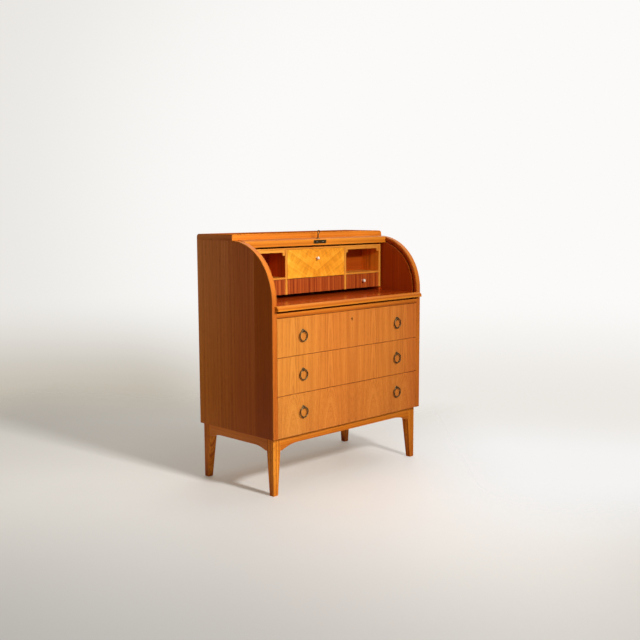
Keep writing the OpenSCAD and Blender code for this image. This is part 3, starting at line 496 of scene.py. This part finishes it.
def lay_grain(bm, axis, log=(0.03, 0.16), spread=0.02, lean=0.0, banded=False, leaves=(),
              across=X, slant=0.0, turn=None, seed=1):
    """Writes where each corner of the mesh lies in its log, as the attribute grain.

    The grain runs along axis, and log is where the board's middle lies in the log. Every connected
    part gets a place of its own, within spread, and lean takes it towards the pith along its
    length. With leaves, the faces between two of these planes across the board mirror their
    neighbours, as matched veneers do, and slant turns their grain. On a banded board the end faces
    have a strip of their own. turn is a function that gives a corner's place in the log from its
    place in the frame instead.
    """
    layer = bm.loops.layers.float_vector.new("grain")
    rng = random.Random(seed)
    long_spread = 300.0 * spread
    for leaf in leaves:
        normal = Vector([1.0 if i == across else 0.0 for i in range(3)])
        cut(bm, normal * leaf, normal)
    for part in islands(bm):
        shift = Vector((rng.uniform(-spread, spread), rng.uniform(-spread, spread),
                        rng.uniform(0.0, long_spread)))
        low, high = [Vector([end(v.co[i] for f in part for v in f.verts) for i in range(3)])
                     for end in (min, max)]
        middle = (low + high) / 2
        size = high - low
        for face in part:
            along = axis
            if banded and abs(face.normal[axis]) > END_FACE:
                along = max(others(axis), key=lambda i: size[i])
            u, v = others(along)
            if size[v] > size[u]:
                u, v = v, u
            sign, centre = 1.0, middle[u]
            if leaves and along == axis:
                inside = [place for place in leaves if low[across] < place < high[across]]
                stops = [low[across], *inside, high[across]]
                number = sum(1 for place in inside if face.calc_center_median()[across] > place)
                sign = -1.0 if number % 2 else 1.0
                centre = (stops[number] + stops[number + 1]) / 2
            for loop in face.loops:
                co = loop.vert.co
                if turn:
                    loop[layer] = Vector(turn(co))
                    continue
                wide, long = sign * (co[u] - centre), co[along]
                wide, long = (wide * math.cos(slant) + long * math.sin(slant),
                              long * math.cos(slant) - wide * math.sin(slant))
                deep = co[v] - middle[v] + lean * (co[along] - high[along])
                loop[layer] = Vector((wide + log[0] + shift.x, deep + log[1] + shift.y,
                                      long + shift.z))


def new_object(name, data):
    obj = bpy.data.objects.new(name, data)
    bpy.context.scene.collection.objects.link(obj)
    return obj


def new_mesh(name, bm):
    mesh = bpy.data.meshes.new(name)
    bm.to_mesh(mesh)
    bm.free()
    return mesh


def piece(name, bm, body, slot, *replaced, look=None):
    """A finished piece of the object from its mesh. It has the look of its slot or another one."""
    for face in bm.faces:
        face.smooth = True
    mesh = new_mesh(name, bm)
    mesh.set_sharp_from_angle(angle=SMOOTH_UP_TO)
    obj = new_object(name, mesh)
    mesh.materials.append(LOOKS[look or slot])
    even = obj.modifiers.new("even_normals", "WEIGHTED_NORMAL")
    even.keep_sharp = True
    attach(obj, body)
    if replaced:
        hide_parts(*replaced)
    return obj


def skin(bm, first, second):
    """Faces between two rings of corners, either of which may be a single point."""
    steps = max(len(first), len(second))
    for step in range(steps):
        after = (step + 1) % steps
        corners = [first[step % len(first)], first[after % len(first)],
                   second[after % len(second)], second[step % len(second)]]
        corners = list(dict.fromkeys(corners))
        if len(corners) > 2:
            bm.faces.new(corners)


def lathe(bm, profile, at, axis=Y, steps=40, worn=()):
    """Turns a profile of (distance along the axis, radius), in mm, round an axis through a point.

    worn are the numbers of the profile's points that are worn edges.
    """
    u, v = others(axis)
    edge = edge_layer(bm)
    rings = []
    for number, (along, radius) in enumerate(profile):
        ring = []
        for turn in circle(steps) if radius else [0.0]:
            co = Vector(at)
            co[axis] += along * MM
            co[u] += radius * MM * math.cos(turn)
            co[v] += radius * MM * math.sin(turn)
            vert = bm.verts.new(co)
            vert[edge] = 1.0 if number in worn else 0.0
            ring.append(vert)
        rings.append(ring)
    for first, second in zip(rings, rings[1:]):
        skin(bm, first, second)


def tube(bm, path, width, height, normal, sides=16):
    """A closed loop of wire along a flat path, oval where its height, along the normal, differs."""
    normal = Vector(normal)
    rings = []
    for number, point in enumerate(path):
        along = (path[(number + 1) % len(path)] - path[number - 1]).normalized()
        out = along.cross(normal)
        rings.append([bm.verts.new(point + out * (width / 2 * math.cos(turn))
                                   + normal * (height / 2 * math.sin(turn)))
                      for turn in circle(sides)])
    for number, ring in enumerate(rings):
        skin(bm, rings[number - 1], ring)


def prism(bm, outline, axis, low, high):
    """An outline in the two other axes, run along an axis."""
    u, v = others(axis)
    rims = []
    for level in (low, high):
        rim = []
        for a, b in outline:
            co = Vector((0.0, 0.0, 0.0))
            co[axis], co[u], co[v] = level, a, b
            rim.append(bm.verts.new(co))
        rims.append(rim)
    bm.faces.new(rims[0])
    bm.faces.new(reversed(rims[1]))
    for number in range(len(outline)):
        after = (number + 1) % len(outline)
        bm.faces.new([rims[0][number], rims[1][number], rims[1][after], rims[0][after]])


def slotted_head(bm, at, axis, face, radius, height, slot_w, slot_depth, turn):
    """A round screw head that stands proud along the axis towards face, 1 or -1, with a slot.

    at is in metres and the sizes are in mm. turn is the angle of the slot.
    """
    u, v = others(axis)
    radius, half = radius * MM, slot_w * MM / 2
    start = math.asin(half / radius)
    for side in (0.0, math.pi):
        prism(bm, [(at[u] + radius * math.cos(a + side + turn),
                    at[v] + radius * math.sin(a + side + turn))
                   for a in arc(start, math.pi - 2 * start, 12)],
              axis, at[axis], at[axis] + face * height * MM)
    long = radius * math.cos(start)
    corners = [(-long, -half), (long, -half), (long, half), (-long, half)]
    c, s = math.cos(turn), math.sin(turn)
    prism(bm, [(at[u] + a * c - b * s, at[v] + a * s + b * c) for a, b in corners],
          axis, at[axis], at[axis] + face * (height - slot_depth) * MM)


def closed(bm):
    """Turns all faces outwards."""
    bmesh.ops.recalc_face_normals(bm, faces=bm.faces)
    return bm


# The case

def body_of(node):
    return next(body for body, obj in frame["bodies"].items() if nodes[node].parent is obj)


def finished(node, slot, axis, bevel=0.6 * MM, segments=2, look=None, **grain):
    """A CAD node of wood, with soft arrises and its own grain."""
    bm = solid(node, bevel, segments)
    lay_grain(bm, axis, seed=len(node) + sum(map(ord, node)), **grain)
    return piece(node + "_finished", bm, body_of(node), slot, node, look=look)


def paint(obj, look, where):
    """Gives another look to the faces whose middle and normal fit."""
    obj.data.materials.append(LOOKS[look])
    for face in obj.data.polygons:
        if where(face.center, face.normal):
            face.material_index = len(obj.data.materials) - 1


# The curve of the side panels' front edge, round the tambour's axis
lipping_low, lipping_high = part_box("side_lippings")
curve_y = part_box("top_board")[0].y
curve_r = curve_y - lipping_low.y
curve_z = lipping_high.z - curve_r


def along_lipping(co):
    """Straight up the front edge, then round the curve."""
    off_centre, deep = 0.2 * co.x, 0.1
    if co.z <= curve_z:
        return off_centre, co.y - lipping_low.y + deep, co.z
    turn = math.atan2(co.z - curve_z, curve_y - co.y)
    out = math.hypot(co.z - curve_z, curve_y - co.y)
    return off_centre, curve_r - out + deep, curve_z + curve_r * turn


# The inner faces of the side panels take painted shade
for node, inward in (("left_side_panel", 1), ("right_side_panel", -1)):
    paint(finished(node, "case_veneer", Z, log=(0.0, 0.07), spread=0.0, leaves=(-0.115, 0.06),
                   across=Y),
          "case_painted_shade", lambda at, normal: normal.x * inward > 0.5)
finished("side_lippings", "edge_wood", Z, bevel=0.8 * MM, look="lipping", turn=along_lipping)
board = finished("top_board", "case_veneer", X, bevel=0.8 * MM, log=(0.02, 0.08), banded=True)
paint(board, "rail_wood", lambda at, normal: normal.y < -0.3 or normal.x > 0.3)
paint(board, "case_top", lambda at, normal: normal.z > 0.7)
# Painted shade: the board's underside darker, above the lead rail
paint(board, "case_painted_shade", lambda at, normal: normal.z < -0.3)
finished("slab_rail", "edge_wood", X)
finished("bottom_board", "drawer_birch", X)
slab_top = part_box("slab_board")[1].z
# Painted shade: the runners above the slab, and the whole of the unit's bearers, darker
paint(finished("runners", "drawer_birch", Y, spread=0.08),
      "case_painted_shade", lambda at, normal: at.z > slab_top)
paint(finished("unit_bearers", "drawer_birch", Y), "case_painted_shade", lambda at, normal: True)
for node, axis, look in (("front_apron", X, "lip_wood"), ("rear_apron", X, "lip_wood"),
                         ("side_aprons", Y, "lipping")):
    finished(node, "base_wood", axis, bevel=1.0 * MM, look=look)
finished("corner_blocks", "drawer_birch", Z, bevel=0.8 * MM, spread=0.05)
# The legs' side faces take painted shade
for leg in ("front_left_leg", "front_right_leg", "rear_left_leg", "rear_right_leg"):
    paint(finished(leg, "base_wood", Z, bevel=2.5 * MM, segments=4, log=(0.04, 0.12), spread=0.05),
          "base_side_painted_shade", lambda at, normal: abs(normal.x) > 0.7)


def back_panel():
    """The plywood back in its rebates, and the small screws whose heads stand just out of it."""
    low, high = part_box("back_panel")
    # The panel's face lies this far inside its solid, so that the heads stay within the CAD box
    face = high.y - 0.5 * MM
    bm = solid("back_panel", 0.3 * MM)
    for vert in bm.verts:
        vert.co.y = min(vert.co.y, face)
    lay_grain(bm, Z, log=(0.0, 0.05), spread=0.0)
    piece("back_panel_finished", bm, "case", "back_plywood", "back_panel")

    columns, rows = (-0.28, -0.1, 0.1, 0.28), (0.262, 0.41, 0.56, 0.71, 0.86, 0.985)
    from_side, from_top, from_bottom = 4 * MM, 6 * MM, 8 * MM
    places = [(side * (high.x - from_side), z) for side in (-1, 1) for z in rows]
    places += [(x, high.z - from_top) for x in columns]
    places += [(x, low.z + from_bottom) for x in columns]
    bm = bmesh.new()
    for number, (x, z) in enumerate(places):
        slotted_head(bm, (x, face - 0.2 * MM, z), Y, 1, radius=2.9, height=0.6, slot_w=0.8,
                     slot_depth=0.45, turn=1.9 * number)
    piece("back_panel_screws", closed(bm), "case", "bolt_steel")


back_panel()


# The interior unit

# The uprights' side faces take painted shade, painted lighter towards the right
paint(finished("unit_uprights", "inner_birch", Z, bevel=0.5 * MM, spread=0.05),
      "inner_side_painted_shade_and_light", lambda at, normal: abs(normal.x) > 0.9)
finished("unit_top", "inner_birch", X, bevel=0.5 * MM)
finished("unit_floor_and_shelves", "inner_birch", X, bevel=0.5 * MM, spread=0.05)
# The unit's back takes painted shade, painted lighter towards the right
finished("unit_back", "inner_back", X, bevel=0.3 * MM)
finished("unit_valances", "inner_birch", X, bevel=0.5 * MM, spread=0.05)
for small in ("left_small", "right_small", "centre"):
    finished(small + "_drawer_front", "ribbon_mahogany", Z, bevel=0.5 * MM, log=(0.5, 0.0))
    finished(small + "_drawer_box", "drawer_birch", Y, bevel=0.4 * MM)
finished("flap_panel", "flame_birch", Z, spread=0.0, leaves=(0.0,), slant=math.radians(62))

# Distance from the unit's front and radius: a round head on a slim neck
KNOB = ((-16.0, 0.0), (-15.8, 2.0), (-15.1, 3.8), (-13.8, 5.4), (-11.8, 6.6), (-9.6, 7.0),
        (-7.4, 6.6), (-5.4, 5.3), (-4.0, 3.9), (-3.1, 3.1), (-2.3, 2.9), (-1.5, 3.3), (-0.8, 4.1),
        (-0.2, 4.4), (0.0, 4.4), (0.0, 0.0))


def knob_piece(knob):
    """A small turned knob."""
    low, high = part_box(knob)
    bm = bmesh.new()
    lathe(bm, KNOB, ((low.x + high.x) / 2, high.y, (low.z + high.z) / 2))
    piece(knob + "_turned", closed(bm), body_of(knob), "knob_ivory", knob)


for knob in ("flap_knob", "left_small_drawer_knob", "right_small_drawer_knob"):
    knob_piece(knob)


# The long drawers

FRONT_LEAVES = (-0.26, 0.0, 0.27)
# How far a front's leaves lean towards the pith. The bottom one shows cathedrals
FRONT_LEAN = {"top_drawer": 0.02, "middle_drawer": 0.02, "bottom_drawer": 0.2}
# How much a dovetail's side slopes, and its half width at the joint as a share of the pitch
TAIL_SLOPE, TAIL_SHARE = 0.17, 0.27
TAILS = 4
# Length of the tails in a front, and thickness of a box's back
FRONT_LAP, BOX_BACK = 13 * MM, 12 * MM


def dovetails(bm, joint, tip, low, high):
    """Cuts the end faces of a mesh along dovetails that widen from one depth, joint, to a tip.

    Returns the middles of the tails' faces and those of the pins' faces between them.
    """
    pitch = (high - low) / TAILS
    reach = max(abs(v.co.x) for v in bm.verts)
    near, far = sorted((joint, tip))
    slope = math.copysign(TAIL_SLOPE, tip - joint)

    def sideways():
        return [f for f in bm.faces if abs(f.normal.x) > 0.9]

    def corner():
        return [f for f in sideways() if abs(f.calc_center_median().x) > reach - 0.1 * MM
                and near < f.calc_center_median().y < far]

    for level in (near, far):
        cut(bm, Vector((0, level, 0)), Vector((0, 1, 0)), sideways())
    middles = [low + (number + 0.5) * pitch for number in range(TAILS)]
    for middle in middles:
        for side in (-1, 1):
            cut(bm, Vector((0, joint, middle + side * pitch * TAIL_SHARE)),
                Vector((0, -side * slope, 1)), corner())
    tails, pins = [], []
    for face in corner():
        at = face.calc_center_median()
        half = pitch * TAIL_SHARE + TAIL_SLOPE * abs(at.y - joint)
        (tails if min(abs(at.z - middle) for middle in middles) < half else pins).append(at)
    return tails, pins


def among(places):
    """Whether a face's middle is one of the places."""
    return lambda at, normal: any((at - place).length < 0.5 * MM for place in places)


def long_drawer(drawer):
    """The front with its matched veneer, and the box that is dovetailed to it and at the back."""
    box_low, box_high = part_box(drawer + "_box")
    bm = solid(drawer + "_front", 0.4 * MM)
    tails, _ = dovetails(bm, box_low.y, box_low.y - FRONT_LAP, box_low.z, box_high.z)
    lay_grain(bm, Z, log=(0.0, 0.05), spread=0.0, lean=FRONT_LEAN[drawer], leaves=FRONT_LEAVES)
    front = piece(drawer + "_front_finished", bm, drawer, "front_veneer", drawer + "_front")
    # Painted shade: the front's top and bottom edges darker, for the gaps between the drawers
    paint(front, "case_painted_shade", lambda at, normal: abs(normal.z) > 0.7)
    paint(front, "drawer_birch", among(tails))

    bm = solid(drawer + "_box", 0.5 * MM)
    _, pins = dovetails(bm, box_high.y - BOX_BACK, box_high.y, box_low.z, box_high.z)
    lay_grain(bm, Y, seed=len(drawer))
    box = piece(drawer + "_box_finished", bm, drawer, "drawer_birch", drawer + "_box")
    paint(box, "end_grain", among(pins))


for drawer in FRONT_LEAN:
    long_drawer(drawer)


# The slab and the tambour

finished("slab_board", "slab_veneer", X, log=(0.06, 0.1))
finished("slab_lip", "edge_wood", X, bevel=0.8 * MM, look="lip_wood")
finished("tambour_slats", "edge_wood", X, bevel=0.3 * MM, spread=0.06)
finished("tambour_lead_rail", "edge_wood", X, look="rail_wood")
for node, slot, bevel in (("tambour_lock", "lock_brass", 0.3 * MM),
                          ("drawer_lock", "lock_brass", 0.3 * MM),
                          ("tambour_bolt", "bolt_steel", 0.3 * MM),
                          ("drawer_bolt", "bolt_steel", 0.3 * MM),
                          ("flap_pivots", "lock_brass", 0.0)):
    piece(node + "_finished", solid(node, bevel), body_of(node), slot, node)

# From the closed tambour's place to where it rests, rolled open
roll = next(joint for joint in frame["joints"] if joint["name"] == "tambour_roll")
rolled_open = (Matrix.Translation((0.0, curve_y, curve_z))
               @ Matrix.Rotation(math.radians(roll["range_deg"][0]), 4, "X"))
# The lead rail's outer face and its leading face, and the middle of its thickness, from the
# tambour's axis
RAIL_OUT = 234 * MM
RAIL_FACE = -14 * MM
LOCK_MID = 222 * MM


def plate_screws():
    """The two countersunk screws in the tambour lock's face plate."""
    from_middle = 31 * MM
    bm = bmesh.new()
    for x, turn in ((-from_middle, 0.5), (from_middle, 2.1)):
        slotted_head(bm, (x, -LOCK_MID, RAIL_FACE), Z, -1, radius=3.0, height=0.25, slot_w=0.8,
                     slot_depth=0.7, turn=turn)
    closed(bm).transform(rolled_open)
    piece("tambour_lock_screws", bm, "tambour", "lock_brass")


# Distance inwards from the lead rail's outer face and radius
SHANK = ((9.0, 0.0), (9.0, 2.8), (8.8, 3.0), (-2.0, 3.0), (-2.4, 4.2), (-3.6, 4.2), (-4.0, 2.6),
         (-17.0, 2.4), (-18.2, 3.6), (-19.6, 3.6), (-20.4, 2.6), (-22.5, 2.2), (-22.5, 0.0))


def key_piece():
    """The key: a turned shank with two collars, and a bow of bent wire."""
    key_z = RAIL_FACE + 15 * MM
    bm = bmesh.new()
    lathe(bm, SHANK, (0.0, -RAIL_OUT, key_z), steps=28)
    # The bow is rounder than a rectangle and squarer than an oval
    wire, wide, tall, squareness = 3.3 * MM, 14.5 * MM, 12.5 * MM, 0.8
    middle = Vector((0.0, -RAIL_OUT - 22 * MM - tall / 2, key_z))
    path = []
    for turn in circle(48):
        x, y = [math.copysign(abs(part) ** squareness, part)
                for part in (math.cos(turn), math.sin(turn))]
        path.append(middle + Vector((x * wide / 2, y * tall / 2, 0.0)))
    tube(bm, path, wire, wire * 0.9, (0, 0, 1), 14)
    closed(bm).transform(rolled_open)
    piece("key_turned", bm, "key", "lock_brass", "key")


def base_screw_pieces():
    """The four slotted screws that hold the base to the bottom board."""
    low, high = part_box("base_screws")
    head_r, head_h = 5, 3
    thread = ((0.0, 0.0), (0.0, 2.5), (34.0, 2.5), (36.0, 1.0), (36.0, 0.0))
    bm = bmesh.new()
    for number, (x, y) in enumerate((x, y) for x in (low.x, high.x) for y in (low.y, high.y)):
        at = (x - math.copysign(head_r * MM, x), y - math.copysign(head_r * MM, y),
              low.z + head_h * MM)
        slotted_head(bm, at, Z, -1, radius=head_r, height=head_h, slot_w=1.3, slot_depth=1.6,
                     turn=0.7 + 1.3 * number)
        lathe(bm, thread, at, Z, 16)
    piece("base_screws_slotted", closed(bm), "case", "bolt_steel", "base_screws")


def keyhole_lining():
    """A brass lining set into the drawer's keyhole, a round hole above a slot."""
    low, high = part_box("top_drawer_front")
    middle = Vector((0.0, low.y, high.z - 33 * MM))
    bm = bmesh.new()
    rings = []
    # In mm: the hole's radius, the slot's half width, and how far down it goes
    for radius, half, drop in ((4.0, 2.1, 9.0), (3.0, 1.2, 8.0)):
        first = math.asin(half / radius)
        outline = [(radius * math.cos(a), radius * math.sin(a))
                   for a in arc(-math.pi / 2 + first, 2 * math.pi - 2 * first, 24)]
        outline += [(-half, -drop), (half, -drop)]
        for deep in (-0.25, 4.0):
            rings.append([bm.verts.new(middle + Vector((x * MM, deep * MM, z * MM)))
                          for x, z in outline])
    order = (rings[1], rings[0], rings[2], rings[3])
    for first, second in zip(order, order[1:]):
        skin(bm, first, second)
    piece("top_drawer_keyhole_lining", closed(bm), "top_drawer", "lock_brass")


plate_screws()
key_piece()
base_screw_pieces()
keyhole_lining()


# The ring pulls

# Distance from the drawer's front and radius
PLATE = ((0.0, 0.0), (0.0, 8.0), (-0.7, 8.0), (-1.3, 7.6), (-1.6, 6.6), (-1.5, 5.6), (-1.9, 4.6),
         (-2.4, 3.6), (-3.0, 2.9), (-4.0, 2.7), (-4.0, 0.0))
PLATE_R = 8 * MM
EYE_OUT, EYE_R, EYE_WIRE, EYE_WIDTH = 6.5 * MM, 4.3 * MM, 2.4 * MM, 6 * MM


def flat_ring(middle, radius, u, v, steps):
    """Points on a circle in the plane of two axes."""
    points = []
    for turn in circle(steps):
        point = middle.copy()
        point[u] += radius * math.cos(turn)
        point[v] += radius * math.sin(turn)
        points.append(point)
    return points


def drawer_eyes(drawer):
    """The turned plates on a drawer's front, each with its neck and the eye for its ring."""
    low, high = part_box(drawer + "_eyes")
    pull = high.x - PLATE_R
    eye_z = (low.z + high.z) / 2
    bm = bmesh.new()
    for x in (-pull, pull):
        lathe(bm, PLATE, (x, high.y, eye_z), steps=36, worn=(2, 3))
        eye = flat_ring(Vector((x, high.y - EYE_OUT, eye_z)), EYE_R, Y, Z, 32)
        tube(bm, eye, EYE_WIRE, EYE_WIDTH, (1, 0, 0), 12)
    piece(drawer + "_eyes_turned", closed(bm), drawer, "aged_brass", drawer + "_eyes")


def ring_pull(node):
    """A ring of round wire."""
    low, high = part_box(node)
    wire = high.y - low.y
    bm = bmesh.new()
    tube(bm, flat_ring((low + high) / 2, (high.x - low.x - wire) / 2, X, Z, 72), wire, wire,
         (0, 1, 0))
    piece(node + "_bent", closed(bm), node, "aged_brass", node)


for place in ("top", "middle", "bottom"):
    drawer_eyes(place + "_drawer")
    for side in ("left", "right"):
        ring_pull(f"{place}_{side}_ring")


def canvas_sheet():
    """The canvas glued to the inside of the slats, as one woven sheet."""
    low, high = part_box("tambour_canvas")
    radius = 207.2 * MM
    first, last = math.radians(90.95), math.radians(180.2)
    columns, rows = 48, 60
    bm = bmesh.new()
    weave = bm.loops.layers.float_vector.new("grain")
    grid, flat = [], {}
    for turn in arc(first, last - first, rows):
        line = []
        for column in range(columns + 1):
            x = low.x + (high.x - low.x) * column / columns
            vert = bm.verts.new((x, curve_y - radius * math.cos(turn),
                                 curve_z + radius * math.sin(turn)))
            flat[vert] = Vector((x, radius * turn, 0.0))
            line.append(vert)
        grid.append(line)
    for line, above in zip(grid, grid[1:]):
        for column in range(columns):
            after = column + 1
            face = bm.faces.new([line[column], line[after], above[after], above[column]])
            for loop in face.loops:
                loop[weave] = flat[loop.vert]
    sheet = piece("tambour_canvas_sheet", bm, "tambour", "canvas", "tambour_canvas")


canvas_sheet()


# Floor, backdrop and light

AMBIENT, AMBIENT_COLOUR = 0.22, (1.0, 0.885, 0.72)
# How bright the glosses see the studio away from the backdrop
DIM_STUDIO = 0.12
# Directions over the floor, as the photograph sees them
TO_CAMERA, TO_RIGHT = (-0.7, -0.7, 0.0), (0.7, -0.7, 0.0)


def backdrop_world():
    """Soft light from all round, behind which the camera and the glosses see a pale studio."""
    world = bpy.data.worlds.new("studio")
    bpy.context.scene.world = world
    world.use_nodes = True
    world.node_tree.nodes.clear()
    tree = Tree(world.node_tree)

    # Glosses see the pale backdrop behind the desk, and a dim studio on the other sides
    place = tree.add("TexCoord", {}, "Generated")
    facing = tree.add("MapRange", {"Value": tree.dot(place, (0.7, 0.7, 0.1)), "From Min": 0.2,
                                   "From Max": 0.9, "To Min": DIM_STUDIO, "To Max": 1.0})
    ray = tree.node("LightPath", {}).outputs
    glossy = tree.math("MAXIMUM", ray["Is Glossy Ray"], ray["Is Transmission Ray"])
    seen = tree.math("MAXIMUM", ray["Is Camera Ray"], glossy)
    dimmed = tree.add("MapRange", {"Value": ray["Is Camera Ray"], "To Min": facing, "To Max": 1.0})

    # The backdrop is shaded low on the left, and pale from there on to the right and higher up
    side = tree.dot(place, (0.8, 0.6, 0.0))
    beyond = tree.math("MULTIPLY", tree.step(tree.dot(place, (0.6, -0.8, 0.0)), 0.0, 0.1),
                       tree.step(side, -0.9, -0.2))
    left, shaded = (0.76, 0.74, 0.71), (0.54, 0.495, 0.42)
    levels = [
        ((0.60, left), (0.82, shaded), (0.88, shaded), (0.93, (0.905, 0.895, 0.885))),
        ((0.60, left), (0.85, shaded), (0.93, shaded), (0.98, (0.84, 0.81, 0.77))),
        ((0.60, (0.84, 0.82, 0.79)), (0.88, (0.82, 0.80, 0.77)), (0.985, (0.965, 0.955, 0.94))),
    ]
    ground, low, high = [tree.mix(beyond, tree.ramp(side, *stops, interpolation="EASE"),
                                  stops[-1][1]) for stops in levels]
    up = tree.parts(place)[Z]
    colour = tree.mix(tree.step(up, -0.25, -0.205), ground, low)
    colour = tree.mix(tree.step(up, -0.195, -0.085), colour, high)

    pale = tree.add("Background", {"Color": colour, "Strength": dimmed})
    light = tree.add("Background", {"Color": AMBIENT_COLOUR, "Strength": AMBIENT})
    both = tree.add("MixShader", {0: seen, 1: light, 2: pale})
    tree.node("OutputWorld", {"Surface": both})


def floor():
    """A pale round floor that turns into the backdrop further out."""
    bm = bmesh.new()
    bmesh.ops.create_circle(bm, cap_ends=True, radius=12.0, segments=96)
    mesh = new_mesh("floor", bm)
    obj = new_object("floor", mesh)
    look = Look("floor")
    place = look.add("TexCoord", {}, "Object")
    towards, rightwards = look.dot(place, TO_CAMERA), look.dot(place, TO_RIGHT)

    # Colour: mottled, with painted light that makes it paler to the right and painted shade that
    # makes it darker towards the camera
    mottle = look.ramp(look.noise(place, 1.3, 3.0), (0.35, 0.0), (0.65, 1.0))
    colour = look.mix(mottle, (0.81, 0.81, 0.80), (0.84, 0.845, 0.835))
    right = look.step(rightwards, -0.3, 1.2)
    colour = look.mix(right, colour, (0.94, 0.945, 0.94))
    painted_shade_nearer = look.math("MULTIPLY", look.step(towards, 0.1, 1.8),
                       look.math("SUBTRACT", 1.0, look.math("MULTIPLY", right, 0.4)))
    colour = look.mix(painted_shade_nearer, colour, (0.48, 0.49, 0.495))
    # The camera alone sees the shadows a little lighter
    lift = look.math("MULTIPLY", look.add("LightPath", {}, "Is Camera Ray"), 0.10)
    look.finish(Base_Color=colour, Roughness=0.6, Emission_Color=(1.0, 0.92, 0.80),
                Emission_Strength=lift)

    # The floor fades out far away, behind the desk and to its right, but not in front of it
    behind = look.step(look.dot(place, (0.9, 0.5, 0.0)), 0.45, 1.7)
    fade = look.math("MAXIMUM", look.step(look.length(place), 1.8, 2.8), behind)
    front = look.math("SUBTRACT", 1.0, look.step(towards, 0.25, 1.35))
    beside = look.math("MULTIPLY", look.step(rightwards, 0.1, 0.95), front)
    clear = look.add("BsdfTransparent", {})
    mixed = look.add("MixShader", {0: look.math("MAXIMUM", fade, beside),
                                   1: look.shader.outputs[0], 2: clear})
    look.put(look.tree.nodes["Material Output"].inputs["Surface"], mixed)
    mesh.materials.append(look.material)


def softbox(name, at, aim, size, power, colour, spread=180.0):
    """A rectangular lamp at one point that faces another."""
    data = bpy.data.lights.new(name, "AREA")
    data.shape = "RECTANGLE"
    data.size, data.size_y = size
    data.energy = power
    data.color = colour
    data.spread = math.radians(spread)
    lamp = new_object(name, data)
    lamp.location = at
    lamp.rotation_euler = (Vector(aim) - Vector(at)).to_track_quat("-Z", "Y").to_euler()


backdrop_world()
floor()
softbox("key", (-0.25, -3.4, 2.4), aim=(-1.0, 0.0, 0.75), size=(0.4, 0.4), power=33.5,
        colour=(1.0, 0.97, 0.94), spread=80.0)
softbox("overhead", (2.1, 0.3, 3.8), aim=(2.1, 0.3, 0.0), size=(5.0, 5.0), power=60.0,
        colour=(1.0, 0.985, 0.97))


def camera():
    """The camera at the photograph's place, fitted to points of the desk in the photograph."""
    place = Matrix.Translation((-2.8786, -2.8938, 1.1344))
    yaw, pitch, roll = math.radians(-45.26), math.pi / 2 - 0.1292, -0.0037
    data = bpy.data.cameras.new("camera")
    data.sensor_width = 36.0
    data.lens = 53.14
    data.shift_x, data.shift_y = -0.00275, 0.0173
    cam = new_object("camera", data)
    for angle, axis in ((yaw, "Z"), (pitch, "X"), (roll, "Z")):
        place = place @ Matrix.Rotation(angle, 4, axis)
    cam.matrix_world = place
    bpy.context.scene.camera = cam


camera()
bpy.context.scene.view_settings.view_transform = "Standard"

bpy.context.view_layer.update()
